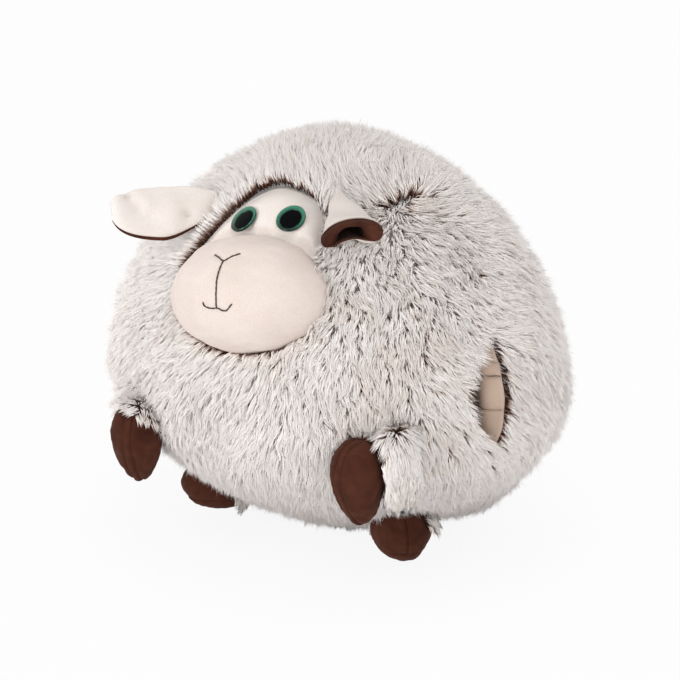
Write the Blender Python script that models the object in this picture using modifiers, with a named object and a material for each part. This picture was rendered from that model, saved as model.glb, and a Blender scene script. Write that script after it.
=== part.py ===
# Plush sheep hand warmer: a stuffed ball-shaped sheep with a hand tunnel from side to side.
# Metres, +Z up. The sheep looks along -Y and its own left side is +X.
# The origin is on the floor, in the middle of the flat base.

import math

import bmesh
import bpy
from mathutils import Matrix, Vector
from mathutils.bvhtree import BVHTree

# Body
body_half_width = 0.191
body_half_depth = 0.1555
body_height = 0.320
widest_height_share = 0.39
crown_power = 0.6
hip_power = 0.87
base_share = 0.245
base_setback = 0.016
cover_thickness = 0.014
base_panel_height = 0.022
seam_gap = 0.0003
cut_overrun = 0.02
body_segments = 32
body_rings = 18
frame_step_share = 0.01

# Panel seams, as angles round the body from the sheep's left side
front_seam_angle = math.radians(-52)
back_seam_angle = math.radians(46)

# Hand tunnel and its slots
tunnel_forward = 0.060
tunnel_height = 0.1485
tunnel_half_width = 0.020
tunnel_half_height = 0.043
lining_thickness = 0.0025
slot_half_width = 0.013
slot_half_height = 0.0385
tunnel_segments = 24
slot_steps = 8

# Face, tilted as a group about a point low on the muzzle
face_roll = math.radians(-7)
face_pivot_below_crown = 0.105
face_pivot_height = body_height - face_pivot_below_crown
velour_thickness = 0.0035
forehead_inset = 0.004
forehead_half_width = 0.0585
forehead_top_below_crown = 0.0365
forehead_bottom_below_crown = 0.095
forehead_top = body_height - forehead_top_below_crown
forehead_bottom = body_height - forehead_bottom_below_crown
forehead_fullness = 3.0
forehead_steps = 12

# Muzzle
muzzle_half_width = 0.063
muzzle_half_depth = 0.047
muzzle_half_height = 0.0422
muzzle_forward = 0.1198
muzzle_below_crown = 0.1054
muzzle_height = body_height - muzzle_below_crown
muzzle_jowl_share = 0.07
muzzle_cover_thickness = 0.003
muzzle_segments = 24
muzzle_rings = 14

# Eyes: two-colour safety eyes on shanks, locked by washers
eye_radius = 0.012
eye_dome_height = 0.0062
eye_rim_height = 0.001
pupil_radius = 0.0077
eye_half_spacing = 0.0192
eye_shift = 0.005
eye_below_crown = 0.0567
eye_height = body_height - eye_below_crown
shank_radius = 0.0022
shank_length = 0.012
shank_clearance = 0.0003
washer_radius = 0.0075
washer_thickness = 0.0015
washer_setback = 0.0006
eye_segments = 20
dome_steps = 5
merge_distance = 0.00005

# Stitching
thread_radius = 0.0008
marks_per_stretch = 2

# Ears: the right one lies out nearly flat, and the left one is rolled into a hood with a flared rim
ear_layer_thickness = 0.0022
ear_root_depth = 0.012
ear_root_swell_share = 0.3
ear_root_curl_share = 0.45
ear_tip_power = 0.42
ear_tip_share = 0.94
ear_flare_share = 0.3
left_ear_length = 0.050
left_ear_root_radius = 0.0085
left_ear_rim_radius = 0.0185
left_ear_flare = 0.005
right_ear_length = 0.070
right_ear_half_width = 0.021
right_ear_root_half_width = 0.016
ear_rows = 12
ear_columns = 10
ear_poses = {
    "left": {"root_share": 0.888, "root_angle": math.radians(-54), "length": left_ear_length,
             "heading": (0.44, -0.85, -0.28), "facing": (0, 0, 1), "curl": math.radians(150),
             "root_radius": left_ear_root_radius, "rim_radius": left_ear_rim_radius,
             "flare": left_ear_flare, "bluntness": 14, "section_share": 0.6, "droop_share": 0.0},
    "right": {"root_share": 0.82, "root_angle": math.radians(-60), "length": right_ear_length,
              "heading": (0.60, -0.79, 0.09), "facing": (-0.60, -0.50, 0.60), "curl": math.radians(26),
              "root_half_width": right_ear_root_half_width, "half_width": right_ear_half_width,
              "flare": 0.0, "bluntness": 5, "section_share": 1.0, "droop_share": 0.05},
}

# Arms
arm_height_shares = {"left": 0.333, "right": 0.31}
arm_angle = math.radians(-53)
arm_root_depth = 0.010
arm_hinge_rise = 0.0223
arm_toe_angle = math.radians(-106)
arm_fur_radius = 0.0255
arm_fur_thickness = 0.006
arm_hoof_half_width = 0.0185
arm_hoof_half_depth = 0.0195
arm_hoof_half_height = 0.032
arm_hoof_inward = 0.0105
arm_hoof_forward = 0.0237
arm_hoof_drop = 0.010
arm_hoof_tilt = math.radians(6)
arm_gusset_half_width = 0.0035

# Feet
foot_height_share = 0.08
foot_angle = math.radians(-38)
foot_outward = 0.0005
foot_forward = 0.0039
foot_lift = 0.0035
foot_toe_angle = math.radians(-50)
foot_hoof_half_length = 0.029
foot_hoof_half_width = 0.0225
foot_hoof_half_height = 0.0225
foot_floor_clearance = 0.0008
sole_thickness = 0.0027
foot_fur_radius = 0.024
foot_fur_thickness = 0.006
foot_fur_setback = 0.016

# Limb covers
hoof_cover_thickness = 0.0025
limb_segments = 16
limb_rings = 10
limb_clearance = 0.0004
hinge_marker_size = 0.03
# Hooves narrow toward their tips by this share of their width
hoof_taper_share = 0.22

# How far each soft seam lets its piece move from rest, in degrees
left_ear_swing = (0, 35)
right_ear_swing = (-15, 25)
arm_swing = (0, 35)
foot_twist = (-10, 10)


def clear_scene():
    for item in list(bpy.data.objects):
        bpy.data.objects.remove(item, do_unlink=True)


def make_collection(name):
    collection = bpy.data.collections.new(name)
    bpy.context.scene.collection.children.link(collection)
    return collection


def make_material(name, colour, roughness, metallic=0.0):
    material = bpy.data.materials.new(name)
    material.use_nodes = True
    shader = material.node_tree.nodes["Principled BSDF"]
    shader.inputs["Base Color"].default_value = (*colour, 1.0)
    shader.inputs["Roughness"].default_value = roughness
    shader.inputs["Metallic"].default_value = metallic
    return material


def object_from_bmesh(bm, name, collection, material=None):
    mesh = bpy.data.meshes.new(name)
    bm.to_mesh(mesh)
    bm.free()
    mesh.shade_smooth()
    item = bpy.data.objects.new(name, mesh)
    collection.objects.link(item)
    if material:
        mesh.materials.append(material)
    else:
        item.hide_render = True
        item.display_type = "WIRE"
    return item


def shaped_sphere(name, segments, rings, shape, collection, material=None):
    # A UV sphere whose points the shape function moves
    bm = bmesh.new()
    bmesh.ops.create_uvsphere(bm, u_segments=segments, v_segments=rings, radius=1)
    for vertex in bm.verts:
        vertex.co = shape(vertex.co.copy())
    bmesh.ops.triangulate(bm, faces=bm.faces)
    return object_from_bmesh(bm, name, collection, material)


def cut(item, cutter, operation="DIFFERENCE"):
    modifier = item.modifiers.new(cutter.name, "BOOLEAN")
    modifier.operation = operation
    modifier.object = cutter
    modifier.solver = "EXACT"


# Body form

def body_shape(inset):
    # Swells to its widest below the middle, and narrows to a soft crown and a flat base
    half_width = body_half_width - inset
    half_depth = body_half_depth - inset
    height = body_height - 2 * inset
    flat_level = math.cos(math.pi / body_rings)

    def shape(unit):
        level = min(1.0, abs(unit.z) / flat_level) if unit.z < 0 else unit.z
        if unit.z < 0:
            spread = base_share + (1 - base_share) * (1 - level ** 2) ** hip_power
            height_share = widest_height_share * (1 - level)
            setback = base_setback * level ** 2
        else:
            spread = (1 - level ** 2) ** crown_power
            height_share = widest_height_share + (1 - widest_height_share) * level
            setback = 0.0
        flat = Vector((unit.x, unit.y))
        if abs(unit.z) > math.cos(math.pi / body_rings / 2):
            spread = 0.0
        if flat.length > 0:
            flat.normalize()
        return Vector((half_width * spread * flat.x,
                       half_depth * spread * flat.y + setback,
                       inset + height * height_share))
    return shape


def body_point(height_share, angle, inset=0.0):
    # A point of the body form at a share of its height and an angle round it
    if height_share < widest_height_share:
        level = -(1 - height_share / widest_height_share) * math.cos(math.pi / body_rings)
    else:
        level = (height_share - widest_height_share) / (1 - widest_height_share)
    ring = math.sqrt(1 - level ** 2)
    return body_shape(inset)(Vector((ring * math.cos(angle), ring * math.sin(angle), level)))


def body_frame(height_share, angle):
    # The point and its outward normal
    point = body_point(height_share, angle)
    step = frame_step_share
    along = body_point(height_share, angle + step) - body_point(height_share, angle - step)
    up = body_point(height_share + step, angle) - body_point(height_share - step, angle)
    return point, along.cross(up).normalized()


def body_form(name, inset, collection, material=None):
    return shaped_sphere(name, body_segments, body_rings, body_shape(inset), collection, material)


def wedge(name, start_angle, end_angle, low, high, collection):
    # A sector of a tall prism about the body's axis, drawn in by half a seam gap
    bm = bmesh.new()
    reach = 2 * body_half_width
    middle = (start_angle + end_angle) / 2
    half = (end_angle - start_angle) / 2
    tip = seam_gap / 2 / math.sin(half)
    corner = Vector((math.cos(middle), math.sin(middle))) * tip
    points = [corner]
    for share in (-1, 0, 1):
        angle = middle + half * share
        points.append(corner + Vector((math.cos(angle), math.sin(angle))) * reach)
    base = [bm.verts.new((point.x, point.y, low)) for point in points]
    face = bm.faces.new(base)
    grown = bmesh.ops.extrude_face_region(bm, geom=[face])
    top = [part for part in grown["geom"] if isinstance(part, bmesh.types.BMVert)]
    bmesh.ops.translate(bm, verts=top, vec=(0, 0, high - low))
    bmesh.ops.recalc_face_normals(bm, faces=bm.faces)
    return object_from_bmesh(bm, name, collection)


def extruded_outline(name, outline, axis, centre, half_length, collection):
    # A closed outline in two coordinates, extruded both ways along the third
    bm = bmesh.new()
    verts = []
    for across, up in outline:
        if axis == "X":
            verts.append(bm.verts.new((centre[0] - half_length, centre[1] + across, centre[2] + up)))
        else:
            verts.append(bm.verts.new((centre[0] + across, centre[1] - half_length, centre[2] + up)))
    face = bm.faces.new(verts)
    grown = bmesh.ops.extrude_face_region(bm, geom=[face])
    far = [part for part in grown["geom"] if isinstance(part, bmesh.types.BMVert)]
    step = Vector((2 * half_length, 0, 0)) if axis == "X" else Vector((0, 2 * half_length, 0))
    bmesh.ops.translate(bm, verts=far, vec=step)
    bmesh.ops.recalc_face_normals(bm, faces=bm.faces)
    return object_from_bmesh(bm, name, collection)


def ellipse_outline(half_width, half_height, count):
    turn = 2 * math.pi / count
    return [(half_width * math.cos(turn * index), half_height * math.sin(turn * index))
            for index in range(count)]


def almond_outline(half_width, half_height, count):
    # Two shallow arcs that meet in a point above and below
    side = []
    for index in range(count):
        share = -1 + 2 * index / count
        side.append((half_width * (1 - share ** 2), half_height * share))
    return side + [(-across, -up) for across, up in side]


def forehead_outline(grow):
    # A rounded peak over the eyes that runs down behind the muzzle
    half_width = forehead_half_width + grow
    top = forehead_top - face_pivot_height + grow
    bottom = forehead_bottom - face_pivot_height - grow
    points = []
    for index in range(forehead_steps + 1):
        share = -1 + 2 * index / forehead_steps
        width = half_width * share
        rise = (top - bottom) * (1 - abs(share) ** forehead_fullness)
        points.append((width, bottom + rise))
    return points


def face_matrix():
    pivot = Matrix.Translation((0, 0, face_pivot_height))
    return pivot @ Matrix.Rotation(face_roll, 4, "Y") @ pivot.inverted()


def build_body(parts, cutters, fur, velour, filling, lining):
    inner = body_form("cover_inside", cover_thickness, cutters)
    top = body_height + cut_overrun
    panel_low = base_panel_height + seam_gap
    tunnel_centre = (0, -tunnel_forward, tunnel_height)
    slot = extruded_outline("slot_cutter", almond_outline(slot_half_width, slot_half_height, slot_steps),
                            "X", tunnel_centre, 2 * body_half_width, cutters)
    forehead_hole = extruded_outline("forehead_hole", forehead_outline(seam_gap), "Y",
                                     (0, -body_half_depth, face_pivot_height),
                                     body_half_depth, cutters)
    forehead_hole.matrix_world = face_matrix()
    muzzle_hole = muzzle_form("muzzle_hole", seam_gap, cutters)

    # Each side is two panels, and their seam is left open along the slot
    across = Matrix.Rotation(math.pi / 2, 4, "Z")
    before = slice_box("before_slots", -2 * body_half_depth, -tunnel_forward + seam_gap / 2,
                       2 * body_half_width, across, cutters)
    behind = slice_box("behind_slots", -tunnel_forward - seam_gap / 2, 2 * body_half_depth,
                       2 * body_half_width, across, cutters)
    left_side = (front_seam_angle, back_seam_angle)
    right_side = (math.pi - back_seam_angle, math.pi - front_seam_angle)
    sectors = {
        "body_front_panel": (-math.pi - front_seam_angle, front_seam_angle,
                             [forehead_hole, muzzle_hole]),
        "body_left_fore_panel": (*left_side, [behind, slot]),
        "body_left_rear_panel": (*left_side, [before, slot]),
        "body_back_panel": (back_seam_angle, math.pi - back_seam_angle, []),
        "body_right_fore_panel": (*right_side, [behind, slot]),
        "body_right_rear_panel": (*right_side, [before, slot]),
    }
    for name, (start, end, holes) in sectors.items():
        panel = body_form(name, 0.0, parts, fur)
        cut(panel, inner)
        cut(panel, wedge(name + "_sector", start, end, panel_low, top, cutters), "INTERSECT")
        for hole in holes:
            cut(panel, hole)

    base = body_form("base_panel", 0.0, parts, fur)
    cut(base, inner)
    below = flat_slab("base_slice", 4 * body_half_width, -cut_overrun, base_panel_height, cutters)
    cut(base, below, "INTERSECT")

    peak = extruded_outline("forehead_peak", forehead_outline(0.0), "Y",
                            (0, -body_half_depth, face_pivot_height), body_half_depth, cutters)
    peak.matrix_world = face_matrix()
    forehead = body_form("forehead_panel", forehead_inset, parts, velour)
    padding = body_form("forehead_padding", forehead_inset + velour_thickness + seam_gap, parts, filling)
    cut(forehead, body_form("forehead_inside", forehead_inset + velour_thickness, cutters))
    cut(padding, inner)
    for piece in (forehead, padding):
        cut(piece, peak, "INTERSECT")
        cut(piece, muzzle_hole)

    stuffing = body_form("body_stuffing", cover_thickness + seam_gap, parts, filling)
    bore = extruded_outline("tunnel_bore",
                            ellipse_outline(tunnel_half_width + seam_gap, tunnel_half_height + seam_gap,
                                            tunnel_segments),
                            "X", tunnel_centre, 2 * body_half_width, cutters)
    cut(stuffing, bore)

    tube = extruded_outline("hand_tunnel_lining",
                            ellipse_outline(tunnel_half_width, tunnel_half_height, tunnel_segments),
                            "X", tunnel_centre, 2 * body_half_width, parts)
    tube.hide_render = False
    tube.display_type = "TEXTURED"
    tube.data.materials.append(lining)
    room = extruded_outline("tunnel_room",
                            ellipse_outline(tunnel_half_width - lining_thickness,
                                            tunnel_half_height - lining_thickness, tunnel_segments),
                            "X", tunnel_centre, 3 * body_half_width, cutters)
    ends = body_form("lining_ends", cover_thickness + seam_gap, cutters)
    cut(tube, room)
    cut(tube, ends, "INTERSECT")
    return forehead, (padding, stuffing)


def flat_slab(name, size, low, high, collection):
    # A wide flat box between two heights
    bm = bmesh.new()
    bmesh.ops.create_cube(bm, size=1)
    bmesh.ops.scale(bm, vec=(size, size, high - low), verts=bm.verts)
    bmesh.ops.translate(bm, vec=(0, 0, (high + low) / 2), verts=bm.verts)
    return object_from_bmesh(bm, name, collection)


# Muzzle

def muzzle_form(name, grow, collection, material=None):
    half = Vector((muzzle_half_width + grow, muzzle_half_depth + grow, muzzle_half_height + grow))
    centre = Vector((0, -muzzle_forward, muzzle_height))
    tilt = face_matrix()

    def shape(unit):
        # Fuller below the middle than above it
        fullness = 1 - muzzle_jowl_share * unit.z * abs(unit.x)
        return tilt @ (centre + Vector((unit.x * half.x * fullness, unit.y * half.y, unit.z * half.z)))
    return shaped_sphere(name, muzzle_segments, muzzle_rings, shape, collection, material)


def build_muzzle(parts, cutters, velour, filling):
    core_edge = body_form("muzzle_back", cover_thickness, cutters)
    cover = muzzle_form("muzzle_cover", 0.0, parts, velour)
    cut(cover, muzzle_form("muzzle_inside", -muzzle_cover_thickness, cutters))
    cut(cover, core_edge)
    stuffing = muzzle_form("muzzle_stuffing", -muzzle_cover_thickness - seam_gap, parts, filling)
    cut(stuffing, core_edge)


def stitch_path(marks, surface):
    # Marks are shares of the muzzle's half width and half height, sewn on the muzzle's front
    tilt = face_matrix()
    points = []
    for across, up in marks:
        start = Vector((across * muzzle_half_width, -2 * body_half_depth,
                        muzzle_height + up * muzzle_half_height))
        hit, normal, _, _ = surface.ray_cast(tilt @ start, tilt.to_3x3() @ Vector((0, 1, 0)))
        points.append(hit + normal * (thread_radius + seam_gap))
    return points


def between(marks):
    # More marks along each straight stretch, so that the thread follows the muzzle's curve
    result = [marks[0]]
    for first, last in zip(marks, marks[1:]):
        for index in range(1, marks_per_stretch + 1):
            share = index / marks_per_stretch
            result.append(tuple(a + (b - a) * share for a, b in zip(first, last)))
    return result


def thread(name, points, collection, material):
    curve = bpy.data.curves.new(name, "CURVE")
    curve.dimensions = "3D"
    curve.bevel_depth = thread_radius
    curve.bevel_resolution = 1
    curve.use_fill_caps = True
    spline = curve.splines.new("POLY")
    spline.points.add(len(points) - 1)
    for target, point in zip(spline.points, points):
        target.co = (*point, 1)
    curve.materials.append(material)
    item = bpy.data.objects.new(name, curve)
    collection.objects.link(item)


def build_stitching(parts, cutters, cotton):
    form = muzzle_form("stitching_ground", 0.0, cutters)
    surface = BVHTree.FromPolygons([v.co for v in form.data.vertices],
                                   [p.vertices[:] for p in form.data.polygons])
    bpy.data.objects.remove(form, do_unlink=True)
    nose_shares = [(-0.13, 0.825), (-0.04, 0.79), (0.043, 0.755), (0.12, 0.805), (0.205, 0.84)]
    lip_line_shares = [(0.041, 0.70), (0.036, 0.60), (0.04, 0.46), (0.05, 0.28), (0.047, 0.08)]
    mouth_shares = [(-0.13, 0.115), (-0.105, 0.05), (-0.01, 0.01), (0.046, 0.02),
                    (0.10, -0.005), (0.175, -0.02), (0.23, 0.045), (0.26, 0.095)]
    thread("nose_stitching", stitch_path(between(nose_shares), surface), parts, cotton)
    thread("lip_line_stitching", stitch_path(between(lip_line_shares), surface), parts, cotton)
    thread("mouth_stitching", stitch_path(between(mouth_shares), surface), parts, cotton)


# Eyes

def turned(name, profile, matrix, collection, material=None):
    # A profile of radius and height, listed up its outer side, turned about the local Z axis
    bm = bmesh.new()
    verts = [bm.verts.new((radius, 0, height)) for radius, height in reversed(profile)]
    closed = profile[0][0] > 0
    for first, last in zip(verts, verts[1:]):
        bm.edges.new((first, last))
    if closed:
        bm.edges.new((verts[-1], verts[0]))
    item = object_from_bmesh(bm, name, collection, material)
    item.matrix_world = matrix
    screw = item.modifiers.new("turn", "SCREW")
    screw.steps = eye_segments
    screw.render_steps = eye_segments
    screw.use_merge_vertices = True
    screw.merge_threshold = merge_distance
    return item


def dome_height(radius):
    rise = eye_dome_height - eye_rim_height
    return eye_rim_height + rise * math.sqrt(max(0.0, 1 - (radius / eye_radius) ** 2))


def build_eyes(parts, cutters, forehead, fillings, materials):
    skin = body_form("eye_ground", forehead_inset, cutters)
    surface = BVHTree.FromPolygons([v.co for v in skin.data.vertices],
                                   [p.vertices[:] for p in skin.data.polygons])
    bpy.data.objects.remove(skin, do_unlink=True)
    tilt = face_matrix()
    for side, sign in (("left", 1), ("right", -1)):
        start = tilt @ Vector((eye_shift + sign * eye_half_spacing, -2 * body_half_depth, eye_height))
        hit, normal, _, _ = surface.ray_cast(start, Vector((0, 1, 0)))
        turn = normal.to_track_quat("Z", "Y").to_matrix().to_4x4()
        place = Matrix.Translation(hit + normal * seam_gap) @ turn
        ring_inner = pupil_radius + seam_gap
        iris = [(ring_inner, dome_height(ring_inner)), (ring_inner, 0), (eye_radius, 0)]
        for index in range(dome_steps + 1):
            share = index / (dome_steps + 1)
            radius = eye_radius + (ring_inner - eye_radius) * share ** 2
            iris.append((radius, dome_height(radius)))
        turned(side + "_eye_iris", iris, place, parts, materials["iris"])
        pupil = [(0, -shank_length), (shank_radius, -shank_length), (shank_radius, 0), (pupil_radius, 0)]
        for index in range(dome_steps + 1):
            radius = pupil_radius * (1 - index / dome_steps)
            pupil.append((radius, dome_height(radius)))
        turned(side + "_eye_pupil", pupil, place, parts, materials["pupil"])
        top = -(velour_thickness + 2 * seam_gap + washer_setback)
        hole = shank_radius + shank_clearance
        washer = [(hole, top), (hole, top - washer_thickness), (washer_radius, top - washer_thickness),
                  (washer_radius, top)]
        turned(side + "_eye_washer", washer, place, parts, materials["washer"])
        reach = shank_length + washer_thickness
        shank_hole = turned(side + "_shank_hole",
                            [(0, -reach), (hole, -reach), (hole, seam_gap), (0, seam_gap)],
                            place, cutters)
        room = washer_radius + shank_clearance
        pocket = turned(side + "_washer_pocket",
                        [(0, -reach), (room, -reach), (room, 0), (0, 0)],
                        place, cutters)
        cut(forehead, shank_hole)
        for filling in fillings:
            cut(filling, pocket)


# Soft seams, each a hinge between a limb or an ear and the body

def mirrored_axis(axis, side):
    return axis if side > 0 else Vector((axis.x, -axis.y, -axis.z))


def add_hinge(name, place, axis, collection):
    hinge = bpy.data.objects.new(name, None)
    hinge.rotation_mode = "QUATERNION"
    hinge.location = place
    hinge.rotation_quaternion = axis.to_track_quat("Z", "Y")
    hinge.empty_display_size = hinge_marker_size
    collection.objects.link(hinge)
    return hinge


def hang(item, hinge):
    # The piece keeps its place and turns with its hinge
    item.parent = hinge
    turn = hinge.rotation_quaternion.to_matrix().to_4x4()
    item.matrix_parent_inverse = (Matrix.Translation(hinge.location) @ turn).inverted()


def swing_edges(name, place, axis, swing, cutters):
    # The body as the swinging piece meets it, at rest and at both ends of the swing
    edges = []
    for degrees in sorted({0, *swing}):
        edge = body_form(name + "_body_at_" + str(degrees), -limb_clearance, cutters)
        back = Matrix.Rotation(-math.radians(degrees), 4, axis)
        edge.matrix_world = Matrix.Translation(place) @ back @ Matrix.Translation(-place)
        edges.append(edge)
    return edges


# Ears

def ear_frame(pose):
    root, normal = body_frame(pose["root_share"], pose["root_angle"])
    heading = Vector(pose["heading"]).normalized()
    across = heading.cross(Vector(pose["facing"])).normalized()
    up = across.cross(heading).normalized()
    return root, normal, heading, across, up


def ear_hinge_place(side, pose):
    # The hinge runs along the sewn root, at the cream side of the ear
    root, normal, heading, across, up = ear_frame(pose)
    place = root + up * ear_layer_thickness
    axis = normal.cross(up).normalized()
    if axis.dot(heading.cross(up)) < 0:
        axis.negate()
    return Vector((place.x * side, place.y, place.z)), mirrored_axis(axis, side)


def ear_section(pose, along):
    # Radius of the ear's curl, and how far it curls to each side in radians
    blunt = (1 - along ** pose["bluntness"]) ** ear_tip_power
    if "rim_radius" in pose:
        radius = pose["root_radius"] + (pose["rim_radius"] - pose["root_radius"]) * along
        return radius, pose["curl"] * blunt
    swell = min(1.0, along / ear_root_swell_share)
    swell = swell * swell * (3 - 2 * swell)
    half = pose["root_half_width"] * (1 - swell) + pose["half_width"] * swell
    radius = pose["half_width"] / (pose["curl"] * min(1.0, ear_root_curl_share + along))
    return radius, half * blunt / radius


def ear_shape(side, pose):
    # A leaf that leaves the body along its heading, with the cream cloth on its facing side
    root, _, heading, across, up = ear_frame(pose)
    start = root - heading * ear_root_depth
    length = pose["length"] + ear_root_depth

    def shape(along, sideways):
        # along runs from 0 at the root to 1 at the tip, sideways from -1 to 1
        radius, reach = ear_section(pose, along)
        angle = sideways * reach
        flare = max(0.0, (along - 1 + ear_flare_share) / ear_flare_share)
        rim = radius + pose["flare"] * flare ** 2
        section = 1 + (pose["section_share"] - 1) * along
        drop = section * (radius - rim * math.cos(angle))
        offset = across * (rim * math.sin(angle)) - up * drop
        sag = up * (pose["droop_share"] * length * along ** 2)
        point = start + heading * (length * along) + offset - sag
        return Vector((point.x * side, point.y, point.z))
    return shape


def build_ear(side_name, side, parts, cutters, front_cloth, back_cloth):
    pose = ear_poses[side_name]
    shape = ear_shape(side, pose)
    place, axis = ear_hinge_place(side, pose)
    hinge = add_hinge(side_name + "_ear_hinge", place, axis, parts)
    swing = left_ear_swing if side > 0 else right_ear_swing
    edges = swing_edges(side_name + "_ear", place, axis, swing, cutters)
    for layer, cloth, offset in (("front", front_cloth, 1), ("back", back_cloth, -1)):
        bm = bmesh.new()
        bmesh.ops.create_grid(bm, x_segments=ear_rows, y_segments=ear_columns, size=1)
        for vertex in bm.verts:
            along = ear_tip_share * (vertex.co.x + 1) / 2
            vertex.co = shape(along, vertex.co.y)
        bmesh.ops.triangulate(bm, faces=bm.faces)
        if side > 0:
            bmesh.ops.reverse_faces(bm, faces=bm.faces)
        item = object_from_bmesh(bm, side_name + "_ear_" + layer, parts, cloth)
        gap = item.modifiers.new("layer_gap", "DISPLACE")
        gap.strength = offset * seam_gap
        gap.mid_level = 0
        shell = item.modifiers.new("cloth", "SOLIDIFY")
        shell.thickness = ear_layer_thickness
        shell.offset = offset
        for edge in edges:
            cut(item, edge)
        hang(item, hinge)


# Limbs

def ellipsoid(name, half, place, collection, material=None, taper=0.0):
    def shape(unit):
        narrow = 1 + taper * unit.z
        return place @ Vector((unit.x * half[0] * narrow, unit.y * half[1] * narrow, unit.z * half[2]))
    item = shaped_sphere(name, limb_segments, limb_rings, shape, collection, material)
    if place.determinant() < 0:
        item.data.flip_normals()
    return item


def grown(half, grow):
    return tuple(value + grow for value in half)


def build_limb(name, fur_place, fur_radius, fur_thickness, hoof_place, hoof_half, taper,
               parts, cutters, edges, hinge, materials):
    # A furry stub sewn to the body, a velour hoof on its end and one filling through both
    core_radius = fur_radius - fur_thickness
    core = (core_radius,) * 3
    hoof_inside = grown(hoof_half, -hoof_cover_thickness)
    fur_ball = ellipsoid(name + "_fur", (fur_radius,) * 3, fur_place, parts, materials["fur"])
    fur_room = ellipsoid(name + "_fur_room", core, fur_place, cutters)
    hoof_edge = ellipsoid(name + "_hoof_edge", grown(hoof_half, seam_gap), hoof_place, cutters, None, taper)
    cut(fur_ball, fur_room)
    cut(fur_ball, hoof_edge)
    trim(fur_ball, edges, hinge)
    hoof_room = ellipsoid(name + "_hoof_room", hoof_inside, hoof_place, cutters, None, taper)
    filling = ellipsoid(name + "_stuffing", grown(hoof_inside, -2 * seam_gap), hoof_place, parts,
                        materials["filling"], taper)
    filling_root = ellipsoid(name + "_stuffing_root", grown(core, -2 * seam_gap), fur_place, cutters)
    cut(filling, filling_root, "UNION")
    trim(filling, edges, hinge)
    return fur_room, hoof_room, filling


def trim(item, edges, hinge):
    # The piece ends at the body, at rest and through its swing, and hangs on its hinge
    for edge in edges:
        cut(item, edge)
    hang(item, hinge)


def build_arm(side_name, side, parts, cutters, materials):
    height_share = arm_height_shares[side_name]
    root, normal = body_frame(height_share, arm_angle)
    out = Vector((normal.x, normal.y, 0)).normalized()
    centre = root - out * arm_root_depth
    toe = Vector((math.cos(arm_toe_angle), math.sin(arm_toe_angle), 0))
    level = Vector((0, 0, 1)).cross(toe)
    flip = Matrix.Diagonal((side, 1, 1, 1))
    turn = Matrix((level, toe, Vector((0, 0, -1)))).transposed().to_4x4()
    fur_place = flip @ Matrix.Translation(centre) @ turn
    hoof_centre = centre + Vector((-arm_hoof_inward, -arm_hoof_forward, -arm_hoof_drop))
    hoof_place = flip @ Matrix.Translation(hoof_centre) @ turn @ Matrix.Rotation(arm_hoof_tilt, 4, "X")
    name = side_name + "_arm"
    # The arm hangs from the top of its sewn root and lifts away from the body
    top = body_point(height_share + arm_hinge_rise / body_height, arm_angle)
    place = Vector((top.x * side, top.y, top.z))
    axis = mirrored_axis(Vector((0, 0, 1)).cross(out).normalized() * -1, side)
    hinge = add_hinge(name + "_hinge", place, axis, parts)
    edges = swing_edges(name, place, axis, arm_swing, cutters)
    hoof_half = (arm_hoof_half_width, arm_hoof_half_depth, arm_hoof_half_height)
    fur_room, hoof_room, filling = build_limb(name, fur_place, arm_fur_radius, arm_fur_thickness,
                                              hoof_place, hoof_half, -hoof_taper_share,
                                              parts, cutters, edges, hinge, materials)
    # The hoof is two side pieces and a narrow gusset between them
    reach = 4 * arm_hoof_half_height
    for piece, low, high in (
            ("hoof_inner_side", -reach, -arm_gusset_half_width - seam_gap),
            ("hoof_gusset", -arm_gusset_half_width, arm_gusset_half_width),
            ("hoof_outer_side", arm_gusset_half_width + seam_gap, reach)):
        hoof = ellipsoid(name + "_" + piece, hoof_half, hoof_place, parts, materials["hoof"],
                         -hoof_taper_share)
        cut(hoof, hoof_room)
        cut(hoof, fur_room)
        trim(hoof, edges, hinge)
        slab = slice_box(name + "_" + piece + "_slice", low, high, reach, hoof_place, cutters)
        cut(hoof, slab, "INTERSECT")


def slice_box(name, low, high, reach, place, collection):
    # A slab between two values of the local X
    bm = bmesh.new()
    bmesh.ops.create_cube(bm, size=1)
    bmesh.ops.scale(bm, vec=(high - low, 2 * reach, 2 * reach), verts=bm.verts)
    bmesh.ops.translate(bm, vec=((high + low) / 2, 0, 0), verts=bm.verts)
    bmesh.ops.transform(bm, matrix=place, verts=bm.verts)
    if place.determinant() < 0:
        bmesh.ops.reverse_faces(bm, faces=bm.faces)
    return object_from_bmesh(bm, name, collection)


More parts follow.
